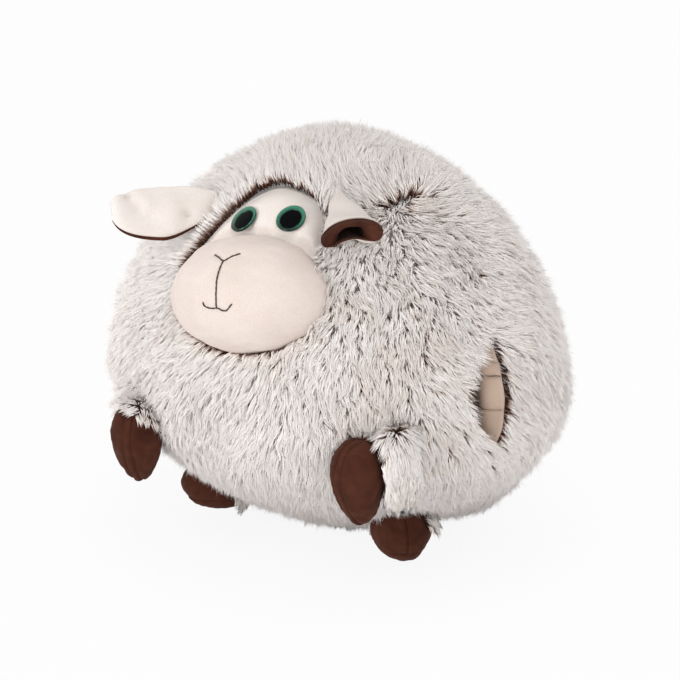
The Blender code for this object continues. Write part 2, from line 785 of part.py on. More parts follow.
def build_foot(side_name, side, parts, cutters, materials):
    height = foot_hoof_half_height + foot_lift
    toe = Vector((math.cos(foot_toe_angle), math.sin(foot_toe_angle), 0))
    level = Vector((0, 0, 1)).cross(toe)
    flip = Matrix.Diagonal((side, 1, 1, 1))
    turn = Matrix((level, Vector((0, 0, 1)), toe)).transposed().to_4x4()
    root = body_point(foot_height_share, foot_angle)
    hoof_centre = Vector((root.x + foot_outward, root.y - foot_forward, height))
    hoof_place = flip @ Matrix.Translation(hoof_centre) @ turn
    fur_rise = foot_fur_radius + 2 * foot_floor_clearance + foot_lift - height
    fur_centre = hoof_centre - toe * foot_fur_setback + Vector((0, 0, fur_rise))
    fur_place = flip @ Matrix.Translation(fur_centre) @ turn
    name = side_name + "_foot"
    # The foot twists in and out about its sewn root
    place = Vector((fur_centre.x * side, fur_centre.y, fur_centre.z))
    axis = mirrored_axis(Vector((0, 0, 1)), side)
    hinge = add_hinge(name + "_hinge", place, axis, parts)
    edges = swing_edges(name, place, axis, foot_twist, cutters)
    hoof_half = (foot_hoof_half_width, foot_hoof_half_height, foot_hoof_half_length)
    fur_room, hoof_room, filling = build_limb(name, fur_place, foot_fur_radius, foot_fur_thickness,
                                              hoof_place, hoof_half, -hoof_taper_share / 2,
                                              parts, cutters, edges, hinge, materials)
    sole_low = foot_lift + foot_floor_clearance
    sole_top = sole_low + sole_thickness
    upper = flat_slab(name + "_upper", 4 * body_half_width, -cut_overrun, sole_top + seam_gap, cutters)
    lower = flat_slab(name + "_lower", 4 * body_half_width, sole_low, sole_top, cutters)
    hoof = ellipsoid(name + "_hoof", hoof_half, hoof_place, parts, materials["hoof"], -hoof_taper_share / 2)
    cut(hoof, hoof_room)
    cut(hoof, fur_room)
    trim(hoof, edges, hinge)
    cut(hoof, upper)
    cut(filling, upper)
    sole = ellipsoid(name + "_sole", hoof_half, hoof_place, parts, materials["sole"], -hoof_taper_share / 2)
    cut(sole, fur_room)
    trim(sole, edges, hinge)
    cut(sole, lower, "INTERSECT")


def main():
    clear_scene()
    parts = make_collection("plush_sheep")
    cutters = make_collection("cutters")
    fur = make_material("frosted_fur", (0.66, 0.62, 0.58), 0.95)
    velour = make_material("cream_velour", (0.86, 0.79, 0.72), 0.9)
    brown = make_material("brown_velour", (0.10, 0.04, 0.025), 0.9)
    lining = make_material("beige_lining", (0.42, 0.30, 0.22), 0.9)
    filling = make_material("polyester_filling", (0.85, 0.85, 0.83), 1.0)
    cotton = make_material("dark_thread", (0.04, 0.02, 0.015), 0.8)
    eye_materials = {
        "iris": make_material("green_iris", (0.02, 0.16, 0.08), 0.15),
        "pupil": make_material("black_pupil", (0.003, 0.003, 0.004), 0.1),
        "washer": make_material("washer_plastic", (0.75, 0.75, 0.72), 0.5),
    }
    limb_materials = {"fur": fur, "filling": filling, "hoof": brown, "sole": brown}

    forehead, fillings = build_body(parts, cutters, fur, velour, filling, lining)
    build_muzzle(parts, cutters, velour, filling)
    build_stitching(parts, cutters, cotton)
    build_eyes(parts, cutters, forehead, fillings, eye_materials)
    for side_name, side in (("left", 1), ("right", -1)):
        build_ear(side_name, side, parts, cutters, velour, brown)
        build_arm(side_name, side, parts, cutters, limb_materials)
        build_foot(side_name, side, parts, cutters, limb_materials)


main()
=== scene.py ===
# Plush sheep hand warmer: long frosted fur, velour face and hooves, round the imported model.
# Metres, +Z up. The sheep looks along -Y and its own left side is +X.

import math

import bpy
import numpy as np
from mathutils import Matrix, Vector
from mathutils.bvhtree import BVHTree
from mathutils.kdtree import KDTree


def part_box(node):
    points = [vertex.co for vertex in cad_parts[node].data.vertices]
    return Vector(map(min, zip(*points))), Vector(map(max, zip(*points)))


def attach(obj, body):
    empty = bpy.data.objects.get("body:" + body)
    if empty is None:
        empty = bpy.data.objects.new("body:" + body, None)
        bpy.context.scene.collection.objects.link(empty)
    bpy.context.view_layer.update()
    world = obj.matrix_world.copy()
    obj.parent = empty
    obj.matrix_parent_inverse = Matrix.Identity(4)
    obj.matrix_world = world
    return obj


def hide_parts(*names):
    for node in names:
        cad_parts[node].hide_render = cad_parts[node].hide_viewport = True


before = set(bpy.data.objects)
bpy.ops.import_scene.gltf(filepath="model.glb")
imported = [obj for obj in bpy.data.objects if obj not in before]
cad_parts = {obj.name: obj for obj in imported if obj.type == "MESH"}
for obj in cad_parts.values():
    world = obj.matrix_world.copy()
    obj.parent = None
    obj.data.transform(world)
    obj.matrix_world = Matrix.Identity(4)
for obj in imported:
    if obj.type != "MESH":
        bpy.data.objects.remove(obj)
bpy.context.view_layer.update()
sides = {"left": 1, "right": -1}
print("frame loaded")


# Camera and studio

shot = {"azimuth": 32.5, "elevation": 17.5, "distance": 1.5, "target": (0, 0, 0.148), "lens": 101.9}


def placeCamera():
    azimuth, elevation = math.radians(shot["azimuth"]), math.radians(shot["elevation"])
    back = Vector((math.sin(azimuth) * math.cos(elevation),
                   -math.cos(azimuth) * math.cos(elevation), math.sin(elevation)))
    camera = bpy.data.objects.new("shotCamera", bpy.data.cameras.new("shotCamera"))
    camera.data.lens = shot["lens"]
    camera.data.sensor_width = 36
    camera.location = Vector(shot["target"]) + back * shot["distance"]
    camera.rotation_mode = "QUATERNION"
    camera.rotation_quaternion = (-back).to_track_quat("-Z", "Y")
    bpy.context.scene.collection.objects.link(camera)
    bpy.context.scene.camera = camera


studio = {
    "worldStrength": 0.95,
    "worldColour": (0.97, 0.98, 1, 1),
    "white": 0.985,
    "floorColour": (0.92, 0.92, 0.93),
    "floorGlow": (0.915, 1.0),  # share of plain white that the camera sees, near the toy and far from it
    "glowReach": (0.17, 0.42),
    "floorSize": 14.0,
    "lamps": {  # place, aim, size, watts
        "keyLamp": ((-1.15, -2.25, 0.40), (0, 0, 0.13), 0.9, 23.5),
        "fillLamp": ((2.2, -1.8, 0.7), (0, 0, 0.14), 1.8, 26.4),
        "topLamp": ((0.2, 0.2, 2.4), (0, 0, 0.1), 1.8, 6),
    },
}


def newNode(tree, kind, *sources, **values):
    # The sources go to the inputs in order, the values to inputs or settings by name
    node = tree.nodes.new(kind)
    for key, value in [*values.items(), *enumerate(sources)]:
        if isinstance(value, bpy.types.NodeSocket):
            tree.links.new(value, node.inputs[key])
        elif isinstance(key, int) or key in node.inputs:
            node.inputs[key].default_value = value
        else:
            setattr(node, key, value)
    return node


def signal(tree, kind, *sources, **values):
    return newNode(tree, kind, *sources, **values).outputs[0]


def emptyTree(owner):
    owner.use_nodes = True
    owner.node_tree.nodes.clear()
    return owner.node_tree


def anyRay(tree, *kinds):
    # 1 for a ray of any of these kinds
    path = newNode(tree, "ShaderNodeLightPath")
    total = path.outputs[kinds[0]]
    for kind in kinds[1:]:
        total = signal(tree, "ShaderNodeMath", total, path.outputs[kind], operation="MAXIMUM")
    return total


def buildStudio():
    world = bpy.data.worlds.new("studioWorld")
    bpy.context.scene.world = world
    tree = emptyTree(world)
    white = signal(tree, "ShaderNodeBackground", (1, 1, 1, 1), studio["white"])
    soft = signal(tree, "ShaderNodeBackground", studio["worldColour"], studio["worldStrength"])
    seen = anyRay(tree, "Is Camera Ray", "Is Glossy Ray", "Is Transmission Ray")
    newNode(tree, "ShaderNodeOutputWorld", signal(tree, "ShaderNodeMixShader", seen, soft, white))

    bpy.ops.mesh.primitive_plane_add(size=studio["floorSize"], location=(0, 0, 0))
    floor = bpy.context.object
    floor.name = "studioFloor"
    material = bpy.data.materials.new("paleFloor")
    tree = emptyTree(material)
    lit = signal(tree, "ShaderNodeBsdfDiffuse", (*studio["floorColour"], 1))
    glow = signal(tree, "ShaderNodeEmission", (1, 1, 1, 1), studio["white"])
    place = newNode(tree, "ShaderNodeTexCoord").outputs["Object"]
    away = newNode(tree, "ShaderNodeVectorMath", place, operation="LENGTH").outputs["Value"]
    fade = signal(tree, "ShaderNodeMapRange", away, *studio["glowReach"], *studio["floorGlow"],
                  interpolation_type="SMOOTHSTEP")
    seen = anyRay(tree, "Is Camera Ray", "Is Glossy Ray")
    share = signal(tree, "ShaderNodeMath", seen, fade, operation="MULTIPLY")
    newNode(tree, "ShaderNodeOutputMaterial", signal(tree, "ShaderNodeMixShader", share, lit, glow))
    floor.data.materials.append(material)

    for name, (place, aim, size, watts) in studio["lamps"].items():
        lamp = bpy.data.objects.new(name, bpy.data.lights.new(name, "AREA"))
        lamp.data.energy = watts
        lamp.data.size = size
        lamp.location = place
        lamp.rotation_euler = (Vector(aim) - Vector(place)).to_track_quat("-Z", "Y").to_euler()
        bpy.context.scene.collection.objects.link(lamp)
    bpy.context.scene.view_settings.view_transform = "Standard"


placeCamera()
buildStudio()
print("studio ready")


# Finishes

def principled(name, values):
    material = bpy.data.materials.new(name)
    material.use_nodes = True
    shader = material.node_tree.nodes["Principled BSDF"]
    for key, value in values.items():
        shader.inputs[key].default_value = value
    return material, material.node_tree, shader


def ramp(tree, source, stops):
    # A stop's colour may be given as one grey value
    node = newNode(tree, "ShaderNodeValToRGB", source)
    while len(node.color_ramp.elements) < len(stops):
        node.color_ramp.elements.new(0.5)
    for element, (place, colour) in zip(node.color_ramp.elements, stops):
        element.position = place
        element.color = (*np.broadcast_to(colour, 3), 1)
    return node.outputs[0]


def noise(tree, scale, detail=2.0, distortion=0.0):
    place = newNode(tree, "ShaderNodeTexCoord").outputs["Object"]
    return newNode(tree, "ShaderNodeTexNoise", place, Scale=scale, Detail=detail,
                   Distortion=distortion).outputs["Fac"]


def uvParts(tree, name):
    return newNode(tree, "ShaderNodeSeparateXYZ", signal(tree, "ShaderNodeUVMap", uv_map=name)).outputs


def multiplied(tree, first, *others):
    for other in others:
        node = newNode(tree, "ShaderNodeMix", 1.0, data_type="RGBA", blend_type="MULTIPLY")
        tree.links.new(first, node.inputs[6])
        tree.links.new(other, node.inputs[7])
        first = node.outputs[2]
    return first


def dress(made, colour, height=None, strength=0.5, distance=0.0):
    # Feeds the colour and, where there is one, the bump into a material's shader
    material, tree, shader = made
    tree.links.new(colour, shader.inputs["Base Color"])
    if height:
        bump = signal(tree, "ShaderNodeBump", Strength=strength, Distance=distance, Height=height)
        tree.links.new(bump, shader.inputs["Normal"])
    return material


furLook = {
    "stops": [(0.13, (0.060, 0.027, 0.017)), (0.21, (0.275, 0.165, 0.130)),
              (0.29, (0.65, 0.55, 0.50)), (0.43, (0.912, 0.876, 0.852))],  # from root to tip
    "warmth": [(0.30, (0.90, 0.84, 0.79)), (0.55, (1.0, 0.985, 0.97)), (0.7, 1.0)],
    "toneChanges": 260,
    "frostShift": 0.30,  # how far a pale strand's dark root is drawn in
    "strandShift": 0.26,
}


def frostedFur():
    # OFBake: u is how frosted a strand is, v runs from its root to its tip
    made = principled("frostedFur", {"Roughness": 0.8, "Specular IOR Level": 0.06})
    tree = made[1]
    parts = uvParts(tree, "OFBake")
    spot = signal(tree, "ShaderNodeMath", parts[0], furLook["toneChanges"], operation="MULTIPLY")
    own = newNode(tree, "ShaderNodeTexNoise", noise_dimensions="1D", W=spot, Scale=1.0, Detail=0.0).outputs["Fac"]
    place = parts[1]
    for source, shift in ((parts[0], furLook["frostShift"]), (own, furLook["strandShift"])):
        moved = signal(tree, "ShaderNodeMapRange", source, 0, 1, -shift / 2, shift / 2)
        place = signal(tree, "ShaderNodeMath", place, moved, operation="ADD")
    return dress(made, multiplied(tree, ramp(tree, place, furLook["stops"]), ramp(tree, own, furLook["warmth"])))


def velour(name, dark, pale, patchScale, patchSoftness, napScale, napDepth, sheen, tint, hollowShadeUv=None):
    made = principled(name, {"Roughness": 0.9, "Specular IOR Level": 0.1,
                             "Sheen Weight": sheen, "Sheen Tint": (*tint, 1)})
    tree = made[1]
    patches = noise(tree, patchScale, 3.0, 0.6)
    nap = noise(tree, napScale)
    colours = [ramp(tree, patches, [(0.5 - patchSoftness, dark), (0.5 + patchSoftness, pale)]),
               ramp(tree, nap, [(0.25, (0.86, 0.85, 0.84)), (0.7, 1.0)])]
    if hollowShadeUv:  # painted shade deepening into the hollow, u is 1 at its mouth
        colours.append(ramp(tree, uvParts(tree, hollowShadeUv)[0],
                            [(0.0, 0.02), (0.86, (0.08, 0.07, 0.07)), (0.93, 0.75), (0.98, 1.0)]))
    return dress(made, multiplied(tree, *colours), nap, 0.5, napDepth)


def threadFinish():
    made = principled("darkThread", {"Roughness": 0.7, "Specular IOR Level": 0.25, "Sheen Weight": 0.2})
    tree = made[1]
    run = signal(tree, "ShaderNodeUVMap", uv_map="threadRun")
    twist = newNode(tree, "ShaderNodeTexWave", run, Scale=3.0, Distortion=0.3,
                    bands_direction="DIAGONAL").outputs["Fac"]
    return dress(made, ramp(tree, twist, [(0.2, (0.018, 0.010, 0.008)), (0.8, (0.07, 0.042, 0.032))]),
                 twist, 0.6, 0.0002)


def irisFinish():
    # eyeRing: u runs from the pupil's edge to the rim, v is 1 towards the light and 0 away from it, and carries the
    # ring's painted shade
    made = principled("greenIris", {"Roughness": 0.16, "Specular IOR Level": 0.25,
                                    "Coat Weight": 0.15, "Coat Roughness": 0.10})
    tree = made[1]
    parts = uvParts(tree, "eyeRing")
    across = ramp(tree, parts[0], [(0.0, (0.004, 0.012, 0.009)), (0.14, (0.006, 0.085, 0.048)),
                                   (0.40, (0.013, 0.16, 0.090)), (0.86, (0.034, 0.22, 0.135)),
                                   (1.0, (0.010, 0.06, 0.040))])
    grain = ramp(tree, noise(tree, 900), [(0.3, 0.8), (0.7, 1.0)])
    # painted shade: the ring darkens on the side away from the light
    around = ramp(tree, parts[1], [(0.0, (0.10, 0.12, 0.12)), (0.14, (0.30, 0.34, 0.33)),
                                   (0.40, (0.62, 0.74, 0.70)), (1.0, 1.0)])
    return dress(made, multiplied(tree, across, grain, around))


def mouldedPlastic(name, dark, pale, roughness, specular, coat):
    made = principled(name, {"Roughness": roughness, "Specular IOR Level": specular,
                             "Coat Weight": coat, "Coat Roughness": 0.05})
    return dress(made, ramp(made[1], noise(made[1], 500, 3.0), [(0.3, dark), (0.7, pale)]))


finishes = {
    "fur": frostedFur(),
    "backing": velour("furBacking", (0.035, 0.02, 0.015), (0.07, 0.045, 0.035), 90, 0.2, 1500, 0.0002,
                      0.0, (1, 1, 1)),
    "cream": velour("creamVelour", (0.715, 0.645, 0.590), (0.775, 0.715, 0.670), 22, 0.22, 1300, 0.00012,
                    0.10, (1, 0.96, 0.93)),
    "muzzle": velour("muzzleVelour", (0.650, 0.553, 0.495), (0.705, 0.617, 0.563), 26, 0.24, 1300, 0.00012,
                     0.10, (1, 0.94, 0.90)),
    "brown": velour("brownVelour", (0.034, 0.0098, 0.0052), (0.078, 0.024, 0.0132), 60, 0.26, 1300, 0.00015,
                    0.06, (1, 0.60, 0.45)),
    # painted shade: the brown velour is darkened into the rolled ear's hollow along its earDepth map
    "hornInside": velour("hornInside", (0.034, 0.0098, 0.0052), (0.082, 0.026, 0.0145), 60, 0.26, 1300, 0.00015,
                         0.06, (1, 0.60, 0.45), "earDepth"),
    # painted shade: a darker copy of the cream velour for the rolled ear, which lies in shade
    "hornCream": velour("hornCream", (0.59, 0.52, 0.472), (0.64, 0.58, 0.536), 22, 0.22, 1300, 0.00012,
                        0.10, (1, 0.96, 0.93)),
    "lining": velour("beigeLining", (0.44, 0.325, 0.250), (0.54, 0.405, 0.318), 30, 0.25, 1400, 0.00012,
                     0.25, (1, 0.95, 0.9)),
    "filling": velour("polyesterFilling", (0.75, 0.75, 0.73), (0.9, 0.9, 0.88), 120, 0.3, 900, 0.0004,
                      0.1, (1, 1, 1)),
    "thread": threadFinish(),
    "iris": irisFinish(),
    "pupil": mouldedPlastic("blackPupil", (0.0008, 0.0008, 0.0015), (0.0015, 0.0015, 0.0025), 0.10, 0.02, 0.05),
    "washer": mouldedPlastic("washerPlastic", (0.68, 0.68, 0.65), (0.76, 0.76, 0.73), 0.45, 0.5, 0.0),
}
print("finishes ready")


# Body form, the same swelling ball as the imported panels

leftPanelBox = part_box("body_left_rear_panel")
body = {
    "halfWidth": leftPanelBox[1][0],
    "halfDepth": -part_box("body_front_panel")[0][1],
    "height": leftPanelBox[1][2],
    "widestShare": 0.39,
    "crownPower": 0.6,
    "hipPower": 0.87,
    "baseShare": 0.245,
    "setback": 0.016,
    "backingInset": 0.0155,
    "backingThickness": 0.001,
    "backingMesh": (128, 96),
    "swells": [((0.112, 0.052, 0.030), 0.042, 0.0215), ((-0.168, -0.070, 0.135), 0.055, 0.0070),
               ((0.155, 0.062, 0.200), 0.090, -0.0045)],  # middle, reach, height
}


def unit(vectors):
    return vectors / np.maximum(np.linalg.norm(vectors, axis=-1, keepdims=True), 1e-12)


def smooth(low, high, value):
    share = np.clip((value - low) / (high - low), 0, 1)
    return share * share * (3 - 2 * share)


def bell(distance, reach):
    # 1 at no distance, next to nothing at twice the reach
    return np.exp(-(distance / reach) ** 2)


def bellAround(points, middle, reach):
    return np.exp(-(((points - np.array(middle)) / reach) ** 2).sum(-1))


def ripple(points, wavelength, seed):
    # Smooth noise between about -1 and 1, the sum of a few waves
    rng = np.random.default_rng(seed)
    turns = unit(rng.normal(size=(7, 3))) * (2 * math.pi / wavelength) * rng.uniform(0.6, 1.5, (7, 1))
    return np.sin(points @ turns.T + rng.uniform(0, 2 * math.pi, 7)).sum(-1) / 3.2


def ripples(points, waves):
    # Each wave has a height, a size and a seed
    return sum(height * ripple(points, size, seed) for height, size, seed in waves)


def turned(first, second, angle):
    # The first direction, turned towards the second
    return unit(first * np.cos(angle)[:, None] + second * np.sin(angle)[:, None])


def formAt(share, inset):
    # Half width, half depth and setback at a share of the height
    widest = body["widestShare"]
    share = np.clip(share, 0, 1)
    low = np.clip(1 - share / widest, 0, 1)
    high = np.clip((share - widest) / (1 - widest), 0, 1)
    lower = body["baseShare"] + (1 - body["baseShare"]) * (1 - low ** 2) ** body["hipPower"]
    spread = np.where(share < widest, lower, (1 - high ** 2) ** body["crownPower"])
    return (body["halfWidth"] - inset) * spread, (body["halfDepth"] - inset) * spread, body["setback"] * low ** 2


def formAtHeight(z, inset):
    return formAt((z - inset) / (body["height"] - 2 * inset), inset)


def bodyAt(share, angle, inset):
    share, angle = np.broadcast_arrays(share, angle)
    wide, deep, setback = formAt(share, inset)
    return np.stack([wide * np.cos(angle), deep * np.sin(angle) + setback,
                     inset + (body["height"] - 2 * inset) * share], axis=-1)


def bodyNormalAt(share, angle, inset):
    step = 0.002
    around = bodyAt(share, angle + step, inset) - bodyAt(share, angle - step, inset)
    up = (bodyAt(np.clip(share + step, 0, 1), angle, inset)
          - bodyAt(np.clip(share - step, 0, 1), angle, inset))
    return unit(np.cross(around, up))


def frontOfBody(x, z, inset):
    # How far forward the body reaches at a place seen from the front
    wide, deep, setback = formAtHeight(z, inset)
    return setback - deep * np.sqrt(np.clip(1 - (x / np.maximum(wide, 1e-6)) ** 2, 0, 1))


def insideBody(points, inset):
    # Below 1 inside the body form
    wide, deep, setback = formAtHeight(points[..., 2], inset)
    return np.hypot(points[..., 0] / np.maximum(wide, 1e-6), (points[..., 1] - setback) / np.maximum(deep, 1e-6))


def bodySwell(points):
    # How far the filling has settled outwards, low at the left and behind the right arm, or drawn in
    return sum(height * bellAround(points, middle, reach) for middle, reach, height in body["swells"])


def swollen(points, normals):
    return points + normals * bodySwell(points)[:, None]


# Mesh helpers

def addToScene(name, mesh, finish):
    mesh.materials.append(finishes[finish])
    piece = bpy.data.objects.new(name, mesh)
    bpy.context.scene.collection.objects.link(piece)
    return piece


def pieceFrom(name, verts, faces, finish, edges=()):
    mesh = bpy.data.meshes.new(name)
    mesh.from_pydata([tuple(v) for v in verts], edges, faces)
    return addToScene(name, mesh, finish)


def takeNew(name, finish):
    # The primitive that was just added
    piece = bpy.context.object
    piece.name = piece.data.name = name
    piece.data.materials.append(finishes[finish])
    return piece


def ballStart(name, segments, rings, finish):
    # A unit ball to be shaped
    bpy.ops.mesh.primitive_uv_sphere_add(segments=segments, ring_count=rings, radius=1)
    return takeNew(name, finish)


def gridStart(name, columns, rows, finish):
    bpy.ops.mesh.primitive_grid_add(x_subdivisions=columns, y_subdivisions=rows, size=2)
    return takeNew(name, finish)


def readVerts(piece):
    places = np.empty(len(piece.data.vertices) * 3, dtype=np.float32)
    piece.data.vertices.foreach_get("co", places)
    return places.reshape(-1, 3).astype(float)


def writeVerts(piece, places):
    piece.data.vertices.foreach_set("co", np.ascontiguousarray(places, dtype=np.float32).ravel())
    piece.data.update()


def activate(piece):
    bpy.ops.object.select_all(action="DESELECT")
    piece.select_set(True)
    bpy.context.view_layer.objects.active = piece


def turnOutwards(piece):
    activate(piece)
    bpy.ops.object.mode_set(mode="EDIT")
    bpy.ops.mesh.select_all(action="SELECT")
    bpy.ops.mesh.normals_make_consistent(inside=False)
    bpy.ops.object.mode_set(mode="OBJECT")


def applyModifier(piece, kind, **values):
    modifier = piece.modifiers.new("shaping", kind)
    for key, value in values.items():
        setattr(modifier, key, value)
    activate(piece)
    bpy.ops.object.modifier_apply(modifier=modifier.name)


def giveWall(piece, thickness, offset=-1.0):
    applyModifier(piece, "SOLIDIFY", thickness=thickness, offset=offset, use_even_offset=False)


def removeFaces(piece, unwanted):
    # Deletes the faces whose corners are all unwanted
    activate(piece)
    bpy.ops.object.mode_set(mode="EDIT")
    bpy.ops.mesh.select_mode(type="FACE")
    bpy.ops.mesh.select_all(action="DESELECT")
    bpy.ops.object.mode_set(mode="OBJECT")
    for polygon in piece.data.polygons:
        polygon.select = all(unwanted[index] for index in polygon.vertices)
    bpy.ops.object.mode_set(mode="EDIT")
    bpy.ops.mesh.delete(type="FACE")
    bpy.ops.object.mode_set(mode="OBJECT")


def assign(piece, bodyName, slotName, *nodes):
    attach(piece, bodyName)
    if nodes:
        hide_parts(*nodes)
    return piece


def settle(piece, bodyName, slotName, *nodes):
    activate(piece)
    bpy.ops.object.shade_smooth()
    return assign(piece, bodyName, slotName, *nodes)


# Face: muzzle and forehead, each rolled about the middle of the muzzle

face = {
    "roll": math.radians(-7),
    "foreheadRoll": math.radians(10.6),
    "pivotHeight": 0.215,
    "muzzleHalf": np.array([0.063, 0.047, 0.0422]),
    "muzzleCentre": np.array([0, -0.1198, 0.2146]),
    "jowl": 0.07,
    "foreheadHalfWidths": (0.0612, 0.0555),  # towards the sheep's right and left
    "foreheadTop": 0.2768,
    "foreheadBottom": 0.208,
    "foreheadFullness": 2.85,
    "foreheadInset": 0.004,
}


def tiltFace(points, back=False, roll="roll"):
    turn = -face[roll] if back else face[roll]
    x, z = points[..., 0], points[..., 2] - face["pivotHeight"]
    return np.stack([x * math.cos(turn) + z * math.sin(turn), points[..., 1],
                     -x * math.sin(turn) + z * math.cos(turn) + face["pivotHeight"]], axis=-1)


def muzzleDistance(points):
    # How far a place lies outside the muzzle, in metres, roughly
    offset = tiltFace(points, back=True) - face["muzzleCentre"]
    return (np.linalg.norm(offset / face["muzzleHalf"], axis=1) - 1) * 0.05


def foreheadHalf(x):
    return np.where(x < 0, *face["foreheadHalfWidths"])


def foreheadRise(x, grow=0.0):
    # Height of the forehead's upper border at a place across the face
    across = np.clip(np.abs(x) / (foreheadHalf(x) + grow), 0, 1)
    rise = face["foreheadTop"] - face["foreheadBottom"] + grow
    return face["foreheadBottom"] + rise * (1 - across ** face["foreheadFullness"])


muzzleLook = {
    "segments": 112,
    "rings": 72,
    "lump": 0.0007,
    "lumpSize": 0.035,
    "stitchPull": 0.0011,
    "stitchWidth": 0.0030,
    "cloth": 0.0026,
    "hidden": (0.0135, 0.97),  # inset of the body form and the share of it that holds no muzzle faces
    "nose": [(-0.132, 0.824), (-0.04, 0.791), (0.043, 0.755), (0.118, 0.806), (0.204, 0.839)],
    "lip": [(0.043, 0.755), (0.035, 0.648), (0.04, 0.478), (0.05, 0.283), (0.047, 0.028)],
    "mouth": [(-0.132, 0.115), (-0.106, 0.052), (-0.009, 0.009), (0.046, 0.02), (0.097, -0.004),
              (0.173, -0.019), (0.228, 0.047), (0.26, 0.095)],
}


def smoothLine(marks, perStretch):
    # A smooth line through the marks
    points = np.array(marks, dtype=float)
    points = [2 * points[0] - points[1], *points, 2 * points[-1] - points[-2]]
    t = np.arange(perStretch)[:, None] / perStretch
    line = [0.5 * (2 * b + (c - a) * t + (2 * a - 5 * b + 4 * c - d) * t ** 2 + (3 * b - a - 3 * c + d) * t ** 3)
            for a, b, c, d in zip(points, points[1:], points[2:], points[3:])]
    return np.concatenate(line + [[points[-2]]])


def muzzleLine(key):
    # A sewn line on the muzzle's front, in untilted face places
    wide, deep, tall = face["muzzleHalf"]
    places = []
    for across, up in smoothLine(muzzleLook[key], 8):
        full = 1 - face["jowl"] * up * abs(across)
        depth = deep * math.sqrt(max(0.0, 1 - (across / full) ** 2 - up ** 2))
        places.append(face["muzzleCentre"] + np.array([across * wide, -depth, up * tall]))
    return np.array(places)


def buildMuzzle():
    piece = ballStart("muzzleVelour", muzzleLook["segments"], muzzleLook["rings"], "muzzle")
    directions = unit(readVerts(piece))
    points = directions * face["muzzleHalf"]
    points[:, 0] *= 1 - face["jowl"] * directions[:, 2] * np.abs(directions[:, 0])
    points += face["muzzleCentre"]
    lump = muzzleLook["lump"] * (ripple(points, muzzleLook["lumpSize"], 3)
                                 + 0.4 * ripple(points, muzzleLook["lumpSize"] / 3, 4))
    sewn = np.concatenate([muzzleLine(key) for key in ("nose", "lip", "mouth")])
    near = np.min(np.linalg.norm(points[:, None, :] - sewn[None, :, :], axis=2), axis=1)
    pull = muzzleLook["stitchPull"] * bell(near, muzzleLook["stitchWidth"])
    points = tiltFace(points + unit(directions / face["muzzleHalf"]) * (lump - pull)[:, None])
    writeVerts(piece, points)
    hiddenInset, hiddenShare = muzzleLook["hidden"]
    removeFaces(piece, insideBody(points, hiddenInset) < hiddenShare)
    surface = BVHTree.FromPolygons([v.co for v in piece.data.vertices],
                                   [p.vertices[:] for p in piece.data.polygons])
    giveWall(piece, muzzleLook["cloth"])
    settle(piece, "body", "cream_velour", "muzzle_cover")
    return surface


eyeLook = {
    "steps": 64,
    "size": 0.93,
    "rise": 0.0030,
    "rim": 0.0012,
    "foot": 0.0002,
    "wall": 0.0009,
    "pupilDrop": 0.0004,
    "pupilGap": 0.0001,
    "lift": 0.0007,
    "pupilShare": 0.715,
    # the direction round the ring in which its painted shade is lightest
    "litFrom": math.radians(92),
    "lean": {"left": (0.02, 0, 0.16), "right": (-0.24, 0, 0.16)},
    "pupilShift": {"left": (0.0006, -0.0012), "right": (0.0027, -0.0008)},
}


def eyePlace(side):
    # The eye's seat, axis and radius, read from its packed ring, with the axis leaned a little
    spots = np.array([v.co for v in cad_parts[side + "_eye_iris"].data.vertices])
    centre = spots.mean(axis=0)
    axis = np.linalg.svd(spots - centre)[2][2]
    axis = axis if axis[1] < 0 else -axis
    heights = (spots - centre) @ axis
    radius = np.linalg.norm((spots - centre) - heights[:, None] * axis, axis=1).max()
    return centre + axis * heights.min(), unit(axis + np.array(eyeLook["lean"][side])), radius


foreheadLook = {
    "columns": 72,
    "rows": 48,
    "tuck": 0.005,  # how far its border goes under the fur
    "skirt": 0.004,
    "edgeDepth": 0.0075,
    "puff": 0.0010,
    "eyeSwell": 0.0016,
    "muzzlePull": 0.0045,
    "cloth": 0.0028,
}


def buildForehead():
    # The velour patch that carries the eyes, tucked under the fur round its border
    look = foreheadLook
    piece = gridStart("foreheadVelour", look["columns"], look["rows"], "cream")
    grid = readVerts(piece)
    across = np.sign(grid[:, 0]) * np.abs(grid[:, 0]) ** 0.8
    x = across * (foreheadHalf(across) + look["tuck"])
    low = face["foreheadBottom"] - look["skirt"]
    z = low + (foreheadRise(x, look["tuck"]) - low) * (grid[:, 1] + 1) / 2
    border = np.minimum(foreheadRise(x) - z, foreheadHalf(x) - np.abs(x))
    world = tiltFace(np.stack([x, np.zeros_like(x), z], axis=-1), roll="foreheadRoll")
    inset = face["foreheadInset"] + look["edgeDepth"] * smooth(0.004, -look["tuck"], border)
    puff = look["puff"] * smooth(0.0, 0.02, border) * (1 + 0.6 * ripple(world, 0.03, 8))
    for side in sides:  # each eye is drawn in by its shank, and the cloth swells round it
        seat, _, radius = eyePlace(side)
        distance = np.hypot(world[:, 0] - seat[0], world[:, 2] - seat[2])
        puff *= smooth(0.004, radius * 1.2, distance)
        puff += look["eyeSwell"] * bell(distance - radius * 1.25, 0.0045) * smooth(0.0, 0.010, border)
    # The cloth is drawn in where the muzzle is sewn on
    world[:, 1] = frontOfBody(world[:, 0], world[:, 2], inset)
    inset += look["muzzlePull"] * (1 - smooth(0.0, 0.011, muzzleDistance(world)))
    world[:, 1] = frontOfBody(world[:, 0], world[:, 2], inset - puff)
    writeVerts(piece, world)
    giveWall(piece, look["cloth"], 1.0 if piece.data.polygons[0].normal.y > 0 else -1.0)
    settle(piece, "body", "cream_velour", "forehead_panel", "forehead_padding")


# Stitches

stitchLook = {
    "length": 0.0040,
    "overlap": 0.08,
    "rings": 9,
    "corners": 10,
    "radius": 0.00058,
    "lift": 0.00035,
    "dip": 0.0007,
    "stretch": 0.0001,
}


